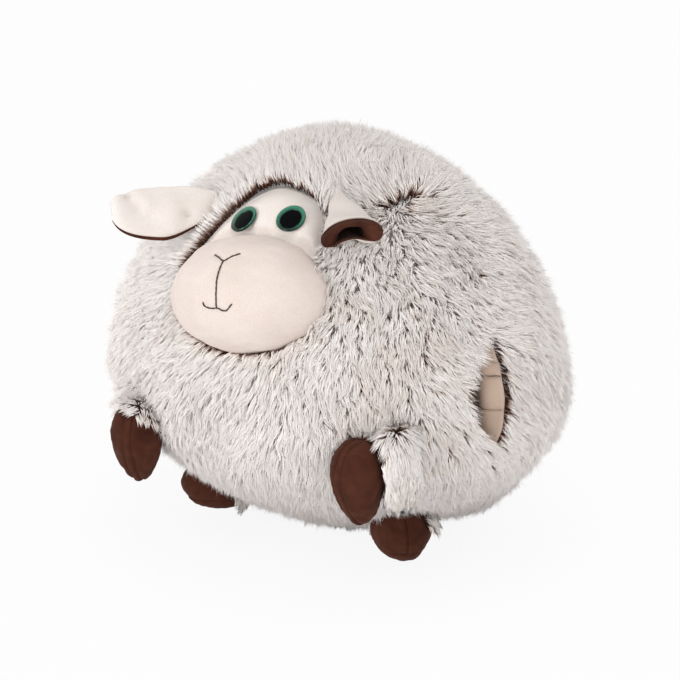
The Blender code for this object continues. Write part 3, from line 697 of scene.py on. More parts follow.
def sewLine(key, surface, node):
    # A closed arched tube for each stitch, with a run coordinate for the thread's twist
    hits = [surface.find_nearest(Vector(place))[:2] for place in tiltFace(muzzleLine(key))]
    spots, outward = (np.array([hit[part] for hit in hits]) for part in (0, 1))
    run = np.concatenate([[0], np.cumsum(np.linalg.norm(np.diff(spots, axis=0), axis=1))])
    count = max(1, round(run[-1] / stitchLook["length"]))
    rings, corners, overlap = (stitchLook[name] for name in ("rings", "corners", "overlap"))
    ends = np.linspace(-1, 1, rings)
    turn = 2 * math.pi * np.arange(corners)[:, None] / corners
    radius = stitchLook["radius"] * (0.55 + 0.45 * np.sin(math.pi * np.linspace(0, 1, rings)) ** 0.5)
    verts, faces = [], []
    for index in range(count):
        at = np.clip(np.linspace(index - overlap, index + 1 + overlap, rings) / count, 0, 1) * run[-1]
        line, normal = (np.stack([np.interp(at, run, values[:, axis]) for axis in range(3)], axis=-1)
                        for values in (spots, outward))
        line += unit(normal) * (stitchLook["lift"] - stitchLook["dip"] * ends ** 4)[:, None]
        line += ends[:, None] * unit(np.gradient(line, axis=0)) * stitchLook["stretch"]
        steps = unit(np.gradient(line, axis=0))
        first = unit(np.cross(steps, (0.31, 0.22, 0.92)))
        around = np.cos(turn) * first[:, None] + np.sin(turn) * np.cross(steps, first)[:, None]
        verts.append((line[:, None] + radius[:, None, None] * around).reshape(-1, 3))
        base = index * rings * corners
        last = base + (rings - 1) * corners
        for a in range(base, last, corners):
            for corner in range(corners):
                after = (corner + 1) % corners
                faces.append((a + corner, a + after, a + corners + after, a + corners + corner))
        faces += [tuple(reversed(range(base, base + corners))), tuple(range(last, last + corners))]
    piece = pieceFrom(key + "Stitches", np.concatenate(verts), faces, "thread")
    layer = piece.data.uv_layers.new(name="threadRun")
    for loop in piece.data.loops:
        ring, corner = divmod(loop.vertex_index % (rings * corners), corners)
        layer.data[loop.index].uv = (corner / corners, ring / (rings - 1))
    settle(piece, "body", "dark_thread", node)


# Eyes

def spinPiece(name, profile, finish):
    # A profile of radius and height spun about Z in edit mode
    piece = pieceFrom(name, [(radius, 0, height) for radius, height in profile], [], finish,
                      [(index, index + 1) for index in range(len(profile) - 1)])
    activate(piece)
    bpy.ops.object.mode_set(mode="EDIT")
    bpy.ops.mesh.select_all(action="SELECT")
    bpy.ops.mesh.spin(steps=eyeLook["steps"], angle=2 * math.pi, center=(0, 0, 0), axis=(0, 0, 1))
    bpy.ops.mesh.select_all(action="SELECT")
    bpy.ops.mesh.remove_doubles(threshold=0.00001)
    bpy.ops.mesh.normals_make_consistent(inside=False)
    bpy.ops.object.mode_set(mode="OBJECT")
    return piece


def buildEye(side):
    seat, axis, radius = eyePlace(side)
    radius *= eyeLook["size"]
    inner = radius * eyeLook["pupilShare"]
    place = Matrix.Translation(Vector(seat + axis * eyeLook["lift"]))
    place = place @ Vector(axis).to_track_quat("Z", "Y").to_matrix().to_4x4()

    def domeAt(r):
        high = math.sqrt(max(0.0, 1 - (r / (radius * 1.02)) ** 2))
        return eyeLook["rim"] + (eyeLook["rise"] - eyeLook["rim"]) * high

    foot, wall, drop, gap = (eyeLook[key] for key in ("foot", "wall", "pupilDrop", "pupilGap"))
    ring = [(inner, domeAt(inner) - wall), (inner, foot), (radius * 0.97, foot), (radius, foot + 0.0005)]
    ring += [(r, domeAt(r)) for r in (radius + (inner + 0.0004 - radius) * index / 12 for index in range(13))]
    iris = spinPiece(side + "EyeRing", ring + ring[:1], "iris")
    layer = iris.data.uv_layers.new(name="eyeRing")
    for loop in iris.data.loops:
        x, y, _ = iris.data.vertices[loop.vertex_index].co
        # v holds the ring's painted shade: 1 towards the light, 0 away from it
        lit = 0.5 + 0.5 * math.cos(math.atan2(y, x) - eyeLook["litFrom"])
        layer.data[loop.index].uv = ((math.hypot(x, y) - inner) / (radius - inner), lit)
    pupil = [(0, foot + gap), (inner - gap, foot + gap), (inner - gap, domeAt(inner) - wall - 2 * gap)]
    pupil += [(r, domeAt(r) - drop) for r in ((inner - 0.0003) * (1 - index / 10) for index in range(11))]
    black = spinPiece(side + "EyePupil", pupil, "pupil")
    for piece, slotName, node in ((iris, "green_iris", "_eye_iris"), (black, "black_pupil", "_eye_pupil")):
        spots = readVerts(piece)  # the pupil sits off the middle of its ring
        drawn = np.clip((radius - np.linalg.norm(spots[:, :2], axis=1)) / (radius - inner), 0, 1)
        spots[:, :2] += np.outer(drawn, eyeLook["pupilShift"][side])
        writeVerts(piece, spots)
        piece.data.transform(place)
        settle(piece, "body", slotName, side + node)


sewnSurface = buildMuzzle()
buildForehead()
for lineKey, lineNode in (("nose", "nose_stitching"), ("lip", "lip_line_stitching"), ("mouth", "mouth_stitching")):
    sewLine(lineKey, sewnSurface, lineNode)
for eyeSide in sides:
    buildEye(eyeSide)
print("face ready")


# Ears

earLook = {
    "layer": 0.0021,
    "seamGap": 0.00015,
    "rootDepth": 0.012,
    "end": 0.985,  # share of the length where the sewn tip lies
    "mesh": (60, 44),  # along and across
    "left": {"rootShare": 0.8747, "rootAngle": math.radians(-62.75), "length": 0.042,
             "heading": (0.691, -0.693, -0.207), "facing": (0, 0, 1), "curl": math.radians(182),
             "rootRadius": 0.0010, "rimRadius": 0.0195, "flare": 0.0020, "flareShare": 0.30,
             "blunt": 16, "section": 0.53, "droop": 0.0, "backReach": (1.0, 1.0), "dents": [],
             "mouth": (0.46, 0.44, 0.10), "mouthDrop": 0.0040, "lip": 0.05, "lift": 0.004,
             "overlap": 0.0017, "fold": 0.0108, "tilt": 0.0018, "flat": (0.106, 0.056), "area": 0.0032},
    "right": {"rootShare": 0.82, "rootAngle": math.radians(-60), "length": 0.070,
              "heading": (0.60, -0.79, 0.09), "facing": (-0.60, -0.50, 0.60), "curl": math.radians(26),
              "rootHalfWidths": (0.016, 0.0065), "halfWidth": 0.021, "flare": 0.0, "flareShare": 0.26,
              "blunt": 5, "section": 1.0, "droop": 0.05, "backReach": (1.0, 1.125), "lip": 0.0, "lift": 0.0,
              "dents": [(0.83, -0.75, 0.055, 0.40, 0.0058), (0.76, -0.15, 0.06, 0.32, 0.0040),
                        (0.66, 0.25, 0.09, 0.25, 0.0022), (0.30, 0.25, 0.05, 0.22, 0.0045)],
              "flat": (0.043, 0.083), "area": 0.0030},
}


def earAxes(side):
    # An ear's root, its three directions, and its length with the part that is sewn in
    look = earLook[side]
    heading = unit(np.array(look["heading"]))
    across = unit(np.cross(heading, look["facing"]))
    root = bodyAt(look["rootShare"], look["rootAngle"], 0.0)
    return root, heading, across, unit(np.cross(across, heading)), look["length"] + earLook["rootDepth"]


def earSurface(side, along, sideways, inside=False):
    # Points of the ear's middle surface, along from 0 at the root to 1 at the tip
    look = earLook[side]
    root, heading, across, up, length = earAxes(side)
    blunt = np.clip(1 - along ** look["blunt"], 0, 1) ** 0.42
    if "rimRadius" in look:
        radius = look["rootRadius"] + (look["rimRadius"] - look["rootRadius"]) * along
        reach = look["curl"] * (0.965 + 0.035 * blunt)
    else:  # the lower edge draws in at the root
        rootHalf = np.where(sideways < 0, *look["rootHalfWidths"])
        swell = np.where(sideways < 0, smooth(0.0, 0.3, along), smooth(0.0, 0.55, along))
        radius = look["halfWidth"] / (look["curl"] * np.minimum(1.0, 0.45 + along))
        reach = (rootHalf * (1 - swell) + look["halfWidth"] * swell) * blunt / radius
    angle = sideways * reach
    flare = np.clip((along - 1 + look["flareShare"]) / look["flareShare"], 0, 1)
    rim = radius + look["flare"] * flare ** 2
    wide, tall = rim, rim
    if inside:  # the brown cloth turns in behind the rim, least at the lower lip, and laps over the cream edge
        inWide, inTall, depth = look["mouth"]
        tucked = np.sqrt(1 - (1 - np.clip((earLook["end"] - along) / depth, 0, 1)) ** 2)
        over = look["overlap"] * (1 - tucked)
        inTall = inTall * (0.20 + 0.40 * (1 + np.cos(angle)))
        wide, tall = rim * (1 - inWide * tucked) + over, rim * (1 - inTall * tucked) + over / look["section"]
        radius = radius + look["mouthDrop"] * tucked * along ** 2
    section = 1 + (look["section"] - 1) * along
    further = 1 + look["lip"] * (1 - np.cos(angle)) / 2  # the lower lip reaches further
    sag = look["droop"] * length * along ** 2 - look["lift"]
    for atAlong, atSide, reachAlong, reachSide, depth in look["dents"]:
        sag = sag + depth * bell(along - atAlong, reachAlong) * bell(sideways - atSide, reachSide)
    if "fold" in look:  # the lower lip is turned up in its middle, and the mouth hangs lower on one side
        sag = sag + look["tilt"] * np.sin(angle) * along
        sag = sag - look["fold"] * smooth(0.64, 1.0, np.abs(sideways)) * along ** 3
    points = (root + (along * length * further - earLook["rootDepth"])[..., None] * heading
              + across * (wide * np.sin(angle))[..., None]
              - up * (section * (radius - tall * np.cos(angle)) + sag)[..., None])
    points[..., 0] *= sides[side]
    return points


def buildEar(side):
    look, end = earLook[side], earLook["end"]
    rolled = "mouth" in look
    # the rolled ear's front takes the cream velour with painted shade
    for layer, finish, slotName, outward in (("front", "hornCream" if rolled else "cream", "cream_velour", 1),
                                             ("back", "hornInside" if rolled else "brown", "brown_velour", -1)):
        flat = gridStart("flatEar", *earLook["mesh"], finish)
        grid = readVerts(flat)
        faces = [tuple(p.vertices) for p in flat.data.polygons]
        bpy.data.objects.remove(flat)
        lined = rolled and outward < 0
        along, sideways = (grid[:, 0] + 1) / 2 * end, grid[:, 1]
        if rolled and outward > 0:
            along = along * 0.975
        if outward < 0:  # the back cloth shows as a thin edge beyond the front one
            sideways = sideways * np.where(sideways < 0, *look["backReach"])
        points = earSurface(side, along, sideways)
        step = 0.002
        ahead = earSurface(side, np.clip(along + step, 0, 0.99), sideways)
        behind = earSurface(side, np.clip(along - step, 0, 0.99), sideways)
        beside = earSurface(side, along, sideways + step) - earSurface(side, along, sideways - step)
        normal = unit(np.cross(beside, ahead - behind)) * sides[side]
        # Both layers draw together at the sewn edge
        edge = np.minimum(1 - np.abs(grid[:, 1]), (end - along) / end * 2.5)
        full = np.sqrt(np.clip(1 - (1 - np.clip(edge / 0.22, 0, 1)) ** 2, 0, 1))
        puff = earLook["layer"] * (0.12 + 0.88 * full) + 0.0007 * full * ripple(points, 0.028, 11 + outward)
        inner = points + normal * (earLook["seamGap"] * outward)
        if lined:
            puff = 0.0005 + 0.0006 * full * ripple(points, 0.012, 13)
            points = earSurface(side, along, sideways, True)
        outer = points + normal * (puff * outward)[:, None]
        count = len(points)
        edges = [(f[i], f[i - 3]) for f in faces for i in range(4)]
        known = set(edges)
        walls = [(b, a, a + count, b + count) for a, b in edges if (b, a) not in known]
        shells = [tuple(reversed(f)) for f in faces] + [tuple(index + count for index in f) for f in faces]
        piece = pieceFrom(side + "Ear" + layer.capitalize(), np.concatenate([inner, outer]), shells + walls, finish)
        if lined:
            # u of earDepth carries the painted shade that deepens into the hollow
            depth = np.tile(along / end, 2)[[loop.vertex_index for loop in piece.data.loops]]
            uv = np.stack([depth, np.full(len(depth), 0.5)], axis=-1).astype(np.float32)
            piece.data.uv_layers.new(name="earDepth").data.foreach_set("uv", uv.ravel())
        turnOutwards(piece)
        settle(piece, side + "_ear", slotName, side + "_ear_" + layer)


for earSide in sides:
    buildEar(earSide)
print("ears ready")


# Limbs

limbLook = {
    "armShare": {"left": 0.333, "right": 0.31},
    "armAngle": math.radians(-53),
    "armRootDepth": 0.010,
    "armToe": math.radians(-106),
    "armHoofHalf": (0.0188, 0.0190, 0.0325),
    "armHoofShift": {"left": (-0.0055, -0.0237, -0.010), "right": (-0.0105, -0.0237, -0.0125)},
    "armTilt": math.radians(6),
    "gussetHalf": 0.0035,
    "gussetBack": -0.004,
    "footPlace": {"left": (0.0920, -0.0585, 0.0300), "right": (0.0790, -0.0576, 0.0330)},
    "footToe": math.radians(-50),
    "footHoofHalf": (0.0225, 0.0225, 0.029),
    "soleShare": 0.42,
    "stubRadius": 0.0192,
    "stubSetback": 0.016,
    "stubRise": 0.0031,
    "taper": {"arm": 0.22, "foot": 0.11},
    "hoofMesh": (104, 76),
    "coreMesh": (32, 20),
    "cloth": 0.0022,
    "hidden": (0.004, 0.9),
    "floorGap": 0.0009,
    "lumps": [(0.0006, 0.022, 21), (0.0003, 0.008, 22)],
    "sleeveHalf": {"left": (0.0095, 0.0135, 0.0240), "right": (0.0180, 0.0180, 0.0185)},  # level, toe, up
    "sleeveShift": {"left": (0.0179, -0.0096, 0.0042), "right": (-0.003, 0.0, 0.007)},
    "seamDepth": 0.0016,
    "seamWidth": 0.0010,
}


def armPlaces(side):
    # Where the hoof and the ball under the sleeve sit
    share, angle = limbLook["armShare"][side], limbLook["armAngle"]
    out = unit(bodyNormalAt(share, angle, 0.0) * np.array([1, 1, 0]))
    centre = Vector(bodyAt(share, angle, 0.0) - out * limbLook["armRootDepth"])
    toe = Vector((math.cos(limbLook["armToe"]), math.sin(limbLook["armToe"]), 0))
    turn = Matrix((Vector((0, 0, 1)).cross(toe), toe, Vector((0, 0, -1)))).transposed().to_4x4()
    flip = Matrix.Diagonal((sides[side], 1, 1, 1))
    hoofCentre = centre + Vector(limbLook["armHoofShift"][side])
    hoof = flip @ Matrix.Translation(hoofCentre) @ turn @ Matrix.Rotation(limbLook["armTilt"], 4, "X")
    sleeve = Matrix.Translation(centre + Vector(limbLook["sleeveShift"][side])) @ turn
    return hoof, flip @ sleeve @ Matrix.Diagonal((*limbLook["sleeveHalf"][side], 1))


def footPlaces(side):
    # Where the hoof and the ball under the fur stub sit
    up = Vector((0, 0, 1))
    toe = Vector((math.cos(limbLook["footToe"]), math.sin(limbLook["footToe"]), 0))
    turn = Matrix((up.cross(toe), up, toe)).transposed().to_4x4()
    flip = Matrix.Diagonal((sides[side], 1, 1, 1))
    centre = Vector(limbLook["footPlace"][side])
    stub = centre - toe * limbLook["stubSetback"] + up * limbLook["stubRise"]
    return (flip @ Matrix.Translation(centre) @ turn,
            Matrix.Translation(flip @ stub) @ Matrix.Scale(limbLook["stubRadius"], 4))


def moveBy(points, matrix):
    return points @ np.array(matrix.to_3x3()).T + np.array(matrix.translation)


def fromCore(points, core):
    # Below 1 inside the ball under a limb's fur
    back = np.array(core.inverted().to_3x3())
    return np.linalg.norm((points - np.array(core.translation)) @ back.T, axis=1)


def armSeams(points):
    beyond = np.where(points[:, 1] > limbLook["gussetBack"], 0.0, 1.0)  # the gusset is on one side of the hoof
    return [np.abs(np.abs(points[:, 0]) - limbLook["gussetHalf"]) + beyond]


def footSeams(points):
    sole = -limbLook["footHoofHalf"][1] * limbLook["soleShare"]
    return [np.abs(points[:, 1] - sole), np.abs(points[:, 0]) + np.where(points[:, 1] < sole, 1.0, 0.0)]


def buildHoof(side, limb, seams, parts):
    # A stuffed velour hoof: an egg that narrows to its tip, drawn in along its seams
    place, half = limbs[side][limb][0], np.array(limbLook[limb + "HoofHalf"])
    piece = ballStart(side + limb.capitalize() + "Hoof", *limbLook["hoofMesh"], "brown")
    direction = unit(readVerts(piece))
    points = direction * half
    points[:, :2] *= (1 - limbLook["taper"][limb] * direction[:, 2])[:, None]
    seam = np.max([bell(distance, limbLook["seamWidth"]) for distance in seams(points)], axis=0)
    lump = ripples(points, limbLook["lumps"])
    world = moveBy(points + unit(direction / half) * (lump - limbLook["seamDepth"] * seam)[:, None], place)
    world[:, 2] = np.maximum(world[:, 2], limbLook["floorGap"])
    writeVerts(piece, world)
    hiddenInset, hiddenShare = limbLook["hidden"]
    removeFaces(piece, insideBody(world, hiddenInset) < hiddenShare)
    if place.determinant() < 0:
        piece.data.flip_normals()
    giveWall(piece, limbLook["cloth"])
    limbName = side + "_" + limb
    settle(piece, limbName, "brown_velour", *(limbName + "_" + part for part in parts))


def buildCore(side, limb):
    # The cloth under a limb's fur
    core = limbs[side][limb][1]
    piece = ballStart(side + limb.capitalize() + "Core", *limbLook["coreMesh"], "backing")
    writeVerts(piece, moveBy(unit(readVerts(piece)), core))
    if core.determinant() < 0:
        piece.data.flip_normals()
    limbName = side + "_" + limb
    settle(piece, limbName, "polyester_filling", limbName + "_stuffing")


limbs = {}
for limbSide in sides:
    limbs[limbSide] = {"arm": armPlaces(limbSide), "foot": footPlaces(limbSide)}
    buildHoof(limbSide, "arm", armSeams, ["hoof_inner_side", "hoof_gusset", "hoof_outer_side"])
    buildHoof(limbSide, "foot", footSeams, ["hoof", "sole"])
    buildCore(limbSide, "arm")
    buildCore(limbSide, "foot")
print("limbs ready")


# Hand tunnel and the backing cloth

tunnel = {
    "forward": 0.060,
    "height": 0.1485,
    "slotHalf": (0.0142, 0.0395),
    "innerHalf": (0.0186, 0.0416),
    "mouthDepth": 0.030,
    "mouthInset": 0.0115,
    "rings": 90,
    "around": 224,
    "pleats": [(0.0125, 0.0065), (-0.012, 0.0030), (0.0225, 0.0030)],  # height above the middle, depth
    "pleatWidth": 0.0012,
    "swell": 0.011,
    "cloth": 0.0012,
    "trim": 0.001,  # how much wider than the slot the backing and the pile are cut
    "barEnds": (-0.3, 0.3),
    "sideFrom": 0.1,
    "flat": (0.197, 0.345),
    "lean": (0.002, 0.002, 0.009),  # at its middle, more at the top than at the bottom, at both ends
}


def slotHalfWidth(up, grow=0.0):
    share = np.clip(np.abs(up) / (tunnel["slotHalf"][1] + grow), 0, 1)
    return (tunnel["slotHalf"][0] + grow) * (1 - share ** 2)


def slotMiddle(up):
    # The opening bends back towards its two ends
    middle, top, ends = tunnel["lean"]
    share = up / tunnel["slotHalf"][1]
    return middle + top * share + ends * share ** 2 - tunnel["forward"]


def buildLining():
    rings, around, height = tunnel["rings"], tunnel["around"], tunnel["height"]
    turn = np.linspace(0, 2 * math.pi, around, endpoint=False)
    along = np.linspace(-1, 1, rings)
    along = np.sign(along) * np.abs(along) ** 0.75  # closer rings near the mouths
    up, backWall = np.sin(turn), np.clip(np.cos(turn), 0, 1)
    mouthUp = tunnel["slotHalf"][1] * np.sign(up) * np.abs(up) ** 0.85
    mouthY = slotHalfWidth(mouthUp) * np.sign(np.cos(turn)) + slotMiddle(mouthUp)
    mouth = np.stack([mouthY, mouthUp + height])
    inner = np.stack([tunnel["innerHalf"][0] * np.cos(turn) - tunnel["forward"],
                      tunnel["innerHalf"][1] * up + height])
    wide, deep, setback = formAtHeight(mouth[1], tunnel["mouthInset"])
    reach = wide * np.sqrt(np.clip(1 - ((mouthY - setback) / deep) ** 2, 0, 1))
    verts = []
    for share in along:
        x, into = share * reach, (1 - abs(share)) * reach
        opened = smooth(0.0, tunnel["mouthDepth"], into)
        y, z = mouth * (1 - opened) + inner * opened
        # Near the mouth the filling pushes the back wall forwards, and the cloth pleats across it
        swell = tunnel["swell"] * bell(into - 0.013, 0.011) * backWall
        y -= swell * slotHalfWidth(z - height) / tunnel["slotHalf"][0]
        for pleatUp, depth in tunnel["pleats"]:
            y += depth * bell(z - height - pleatUp, tunnel["pleatWidth"]) * smooth(0.0, 0.004, into) * backWall
        y += 0.0004 * ripple(np.stack([x, y * 0, z], axis=-1), 0.018, 31)
        # Its mouths reach out to where the filling has pushed the cover
        out = bodySwell(np.stack([x, y, z], axis=-1)) * bell(into, 0.012)
        verts.append(np.stack([x + np.sign(share) * out, y, z], axis=-1))
    faces = []
    for a in range(0, (rings - 1) * around, around):
        for column in range(around):
            after = (column + 1) % around
            faces.append((a + column, a + around + column, a + around + after, a + after))
    piece = pieceFrom("tunnelLining", np.concatenate(verts), faces, "lining")
    giveWall(piece, tunnel["cloth"], 1.0)
    settle(piece, "body", "beige_lining", "hand_tunnel_lining")


def buildBacking():
    # The dark cloth that the pile is knitted into
    inset, widest = body["backingInset"], body["widestShare"]
    piece = ballStart("furBacking", *body["backingMesh"], "backing")
    direction = unit(readVerts(piece))
    level = direction[:, 2]
    share = np.where(level < 0, widest * (1 + level), widest + (1 - widest) * level)
    angle = np.arctan2(direction[:, 1], direction[:, 0])
    points = bodyAt(share, angle, inset)
    points[level < -0.99999] = (0, body["setback"], inset)
    points[level > 0.99999, :2] = 0
    writeVerts(piece, swollen(points, bodyNormalAt(share, angle, inset)))
    giveWall(piece, body["backingThickness"])
    # Both hand slots are cut with one almond bar through the body
    ups = tunnel["slotHalf"][1] * np.sin(np.linspace(-math.pi / 2, math.pi / 2, 25))
    wides = np.maximum(slotHalfWidth(ups, tunnel["trim"]), 0.0004)
    outline = [*zip(wides, ups)] + [*zip(-wides, ups)][::-1]
    count = len(outline)
    verts = [(x, y + slotMiddle(up), up + tunnel["height"]) for x in tunnel["barEnds"] for y, up in outline]
    walls = [(i, (i + 1) % count, count + (i + 1) % count, count + i) for i in range(count)]
    bar = pieceFrom("slotBar", verts, walls + [tuple(reversed(range(count))), tuple(range(count, 2 * count))],
                    "backing")
    turnOutwards(bar)
    applyModifier(piece, "BOOLEAN", object=bar, operation="DIFFERENCE")
    bpy.data.objects.remove(bar)
    settle(piece, "body", "frosted_fur")


buildLining()
buildBacking()
print("tunnel and backing ready")


# Fur

fur = {
    "strands": 104000,
    "wisps": 142000,
    "locks": 11500,
    "spreadCells": (240, 256),
    "strandJitter": (0.0012, 0.0005),  # spread of a root up or down, and margin at the poles
    "lockJitter": (0.004, 0.001),
    "length": 0.0205,
    "leanRoot": math.radians(30),
    "leanTip": math.radians(62),
    "halfWidth": 0.00055,
    "wispHalfWidth": 0.00034,
    "widths": (0.7, 1.25),  # range round the half width
    "wispWidths": (0.7, 1.3),
    "wisp": {"spread": 0.22, "rise": (-0.02, 0.22), "from": 0.75, "jitter": 0.0006, "reach": (1.0, 1.35)},
    "flatness": 0.55,
    "rootWidth": 0.75,
    "floorGap": 0.0004,
    "pull": 0.70,
    "pullRange": (0.55, 1.15),
    "middlePull": 0.42,
    "sways": [(0.45, 0.055, 51), (0.30, 0.019, 52)],
    "normalShare": 0.74,
    "lock": (0.30, 0.16, (0.82, 1.14)),  # spread of turn and of lean, range of lengths
    "strand": (0.22, 0.12, (0.78, 1.10)),
    "faceMiddle": (0, -0.105, 0.235),
    "whorl": (0.080, -0.042, 0.277),
    "whorlReach": 0.12,
    "whorlPush": 1.1,
    "faceReach": 0.030,
    "awayFromFace": (0.30, 1.8),  # everywhere, and more beside the face
    "down": 1.25,
    "topLoss": 0.75,  # share of the downward way that is lost on top
    "slotReach": 0.030,
    "slotBack": (0.9, 2.6),  # behind the opening and in front of it
    "slotDown": 0.6,
    "darkPatches": [((0.110, -0.110, 0.215), 0.070, 0.37), ((0.140, -0.095, 0.125), 0.055, 0.42),
                    ((0.070, -0.055, 0.280), 0.030, 0.20)],  # middle, reach, loss of frost
    "seamFront": math.radians(-52),
    "seamBack": math.radians(46),
    "lowBelow": 0.14,
    "underStrands": 3200,
    "underHalfWidth": 0.0009,
    "sleeveClear": (1.22, 1.10, 1.25),  # of a strand's tip, its middle and a wisp's tip, in core sizes
    "frost": 0.42,
    "frostRipples": [(0.14, 0.09, 61), (0.23, 0.03, 62)],
    "frostSpread": 0.10,
    "frostRange": (0.01, 0.99),
    "lowFrontLoss": 0.10,
    "faceLoss": (0.50, 0.006),
    "partingLoss": 0.16,
    "backGain": 0.14,
    "underFrost": 0.6,
    "underPerLock": 12,
    "borderRise": (0.0075, 0.008),  # how far the roots come up beside the forehead, and how wide
    "borderStand": (0.80, 0.007),
    "goldenAngle": 2.399963,
    "seed": 41,
}


def spreadEvenly(count, inset):
    # Roots spread by area over the body form
    rows, columns = fur["spreadCells"]
    shareEdges = (1 - np.cos(np.linspace(0, math.pi, rows + 1))) / 2
    angleEdges = np.linspace(-math.pi, math.pi, columns + 1)
    corners = bodyAt(shareEdges[:, None], angleEdges[None, :], inset)
    area = np.linalg.norm(np.cross(corners[1:, :-1] - corners[:-1, :-1],
                                   corners[:-1, 1:] - corners[:-1, :-1]), axis=-1)
    rowRun = np.concatenate([[0], np.cumsum(area.sum(1))]) / area.sum()
    columnRun = np.cumsum(area, axis=1) / area.sum(1, keepdims=True)
    plastic = 1.32471795724  # the plastic number, which spreads pairs evenly
    index = np.arange(count)
    first, second = ((0.5 + index / plastic ** power) % 1 for power in (1, 2))
    row = np.clip(np.searchsorted(rowRun, first, side="right") - 1, 0, rows - 1)
    inRow = (first - rowRun[row]) / (rowRun[row + 1] - rowRun[row])
    flat = (columnRun + np.arange(rows)[:, None]).ravel()
    cell = np.clip(np.searchsorted(flat, second + row), 0, rows * columns - 1) - row * columns
    cell = np.clip(cell, 0, columns - 1)
    before = np.where(cell > 0, columnRun[row, np.maximum(cell - 1, 0)], 0.0)
    inCell = (second - before) / (columnRun[row, cell] - before)
    share = shareEdges[row] + (shareEdges[row + 1] - shareEdges[row]) * inRow
    angle = angleEdges[cell] + (angleEdges[1] - angleEdges[0]) * inCell
    return share, angle


def bareSpots(points):
    # True where the cover is cut away or something is sewn on
    x, y, z = tiltFace(points, back=True, roll="foreheadRoll").T
    bare = (y < -0.02) & (np.abs(x) < foreheadHalf(x)) & (z < foreheadRise(x)) & (z > face["foreheadBottom"] - 0.005)
    bare |= muzzleDistance(points) < -0.0025
    up = points[:, 2] - tunnel["height"] - 0.004
    inSlot = np.abs(points[:, 1] - slotMiddle(up)) < slotHalfWidth(up, tunnel["trim"])
    bare |= inSlot & (np.abs(points[:, 0]) > tunnel["sideFrom"])
    for side in sides:
        for _, core in limbs[side].values():
            bare |= fromCore(points, core) < 1.0
    return bare


partings = [  # two ends of a line that the pile turns away from, reach, strength
    ((0.0765, -0.0562, 0.272), (0.0829, -0.0277, 0.281), 0.012, 4.5),
    ((0.102, -0.074, 0.243), (0.104, -0.070, 0.240), 0.007, 1.4),
    ((0.133, -0.071, 0.214), (0.153, -0.055, 0.199), 0.007, 1.6),
    ((0.172, -0.010, 0.193), (0.172, -0.006, 0.186), 0.006, 1.2),
]


def partingLines(points):
    # Offset and distance from each parting line, with its reach and strength
    for first, last, reach, strength in partings:
        first, last = np.array(first), np.array(last)
        share = np.clip(((points - first) @ (last - first)) / ((last - first) ** 2).sum(), 0, 1)
        offset = points - first - share[:, None] * (last - first)
        yield offset, np.linalg.norm(offset, axis=1), reach, strength


def furFlow(points, normals):
    # The way the pile lies: off the forehead, out from the crown of the left side, then down
    nearFace = bell(foreheadDistance(points), fur["faceReach"]) * smooth(0.215, 0.235, points[:, 2])
    nearFace += 0.6 * bell(faceDistance(points), fur["faceReach"]) * smooth(0.02, -0.03, points[:, 0])
    base, extra = fur["awayFromFace"]
    flow = unit(points - np.array(fur["faceMiddle"])) * (base + extra * nearFace)[:, None]
    whorl = points - np.array(fur["whorl"])
    flow += unit(whorl) * (fur["whorlPush"] * bell(np.linalg.norm(whorl, axis=1), fur["whorlReach"]))[:, None]
    flow[:, 2] -= fur["down"] * (1 - fur["topLoss"] * smooth(0.225, 0.30, points[:, 2]))
    for offset, far, reach, strength in partingLines(points):
        flow += unit(offset) * (strength * bell(far, 2 * reach))[:, None]
    # Beside each slot the pile lies down and backwards, more so in front of the opening
    up = points[:, 2] - tunnel["height"]
    beside = points[:, 1] - slotMiddle(up)
    near = bell(beside, fur["slotReach"]) * (np.abs(points[:, 0]) > tunnel["sideFrom"])
    near *= 1 - smooth(0.036, 0.056, np.abs(up))
    flow[:, 1] += near * np.where(beside > 0, *fur["slotBack"])
    flow[:, 2] -= fur["slotDown"] * near
    flow = unit(flow - normals * (flow * normals).sum(1, keepdims=True))
    return turned(flow, np.cross(normals, flow), ripples(points, fur["sways"]))


def foreheadDistance(points):
    # How far a root lies from the forehead's border, in metres, roughly
    x, y, z = tiltFace(points, back=True, roll="foreheadRoll").T
    outside = np.maximum(np.maximum(z - foreheadRise(x), np.abs(x) - foreheadHalf(x)), 0)
    return np.where((y < 0) & (z >= face["foreheadBottom"]), outside, 1.0)


def faceDistance(points):
    return np.minimum(foreheadDistance(points), np.maximum(muzzleDistance(points), 0))


def layPile(roots, normals, flows, turns, leans, lengths, scale, rng, extraLean, upright):
    # Middle and tip of each strand or lock, which has its own turn, lean and length
    count = len(roots)
    flows = turned(flows, np.cross(normals, flows), rng.normal(0, turns, count))
    lean = rng.normal(0, leans, count)
    half = fur["length"] * scale * rng.uniform(*lengths, count) / 2
    laid = [roots]
    for base, share in ((fur["leanRoot"], 0.5), (fur["leanTip"], 1.0)):
        angle = (base + extraLean) * (1 - upright(roots)) + lean * share
        way = normals * np.cos(angle)[:, None] + flows * np.sin(angle)[:, None]
        laid.append(laid[-1] + way * half[:, None])
    return laid[1:]


def growStrands(strands, locks, scale, rng, extraLean=0.0, upright=lambda points: 0.0):
    # Strands and locks are given by their roots, normals and flows; each strand is drawn to its nearest lock
    roots, normals, _ = strands
    tree = KDTree(len(locks[0]))
    for index, place in enumerate(locks[0]):
        tree.insert(place, index)
    tree.balance()
    own = np.array([tree.find(place)[1] for place in roots])
    lockMiddle, lockTip = layPile(*locks, *fur["lock"], scale, rng, extraLean, upright)
    middle, tip = layPile(*strands, *fur["strand"], scale, rng, extraLean, upright)
    pull = fur["pull"] * rng.uniform(*fur["pullRange"], len(roots))[:, None]
    return {"root": roots, "middle": middle + (lockMiddle[own] - middle) * pull * fur["middlePull"],
            "tip": tip + (lockTip[own] - tip) * pull, "normal": normals}


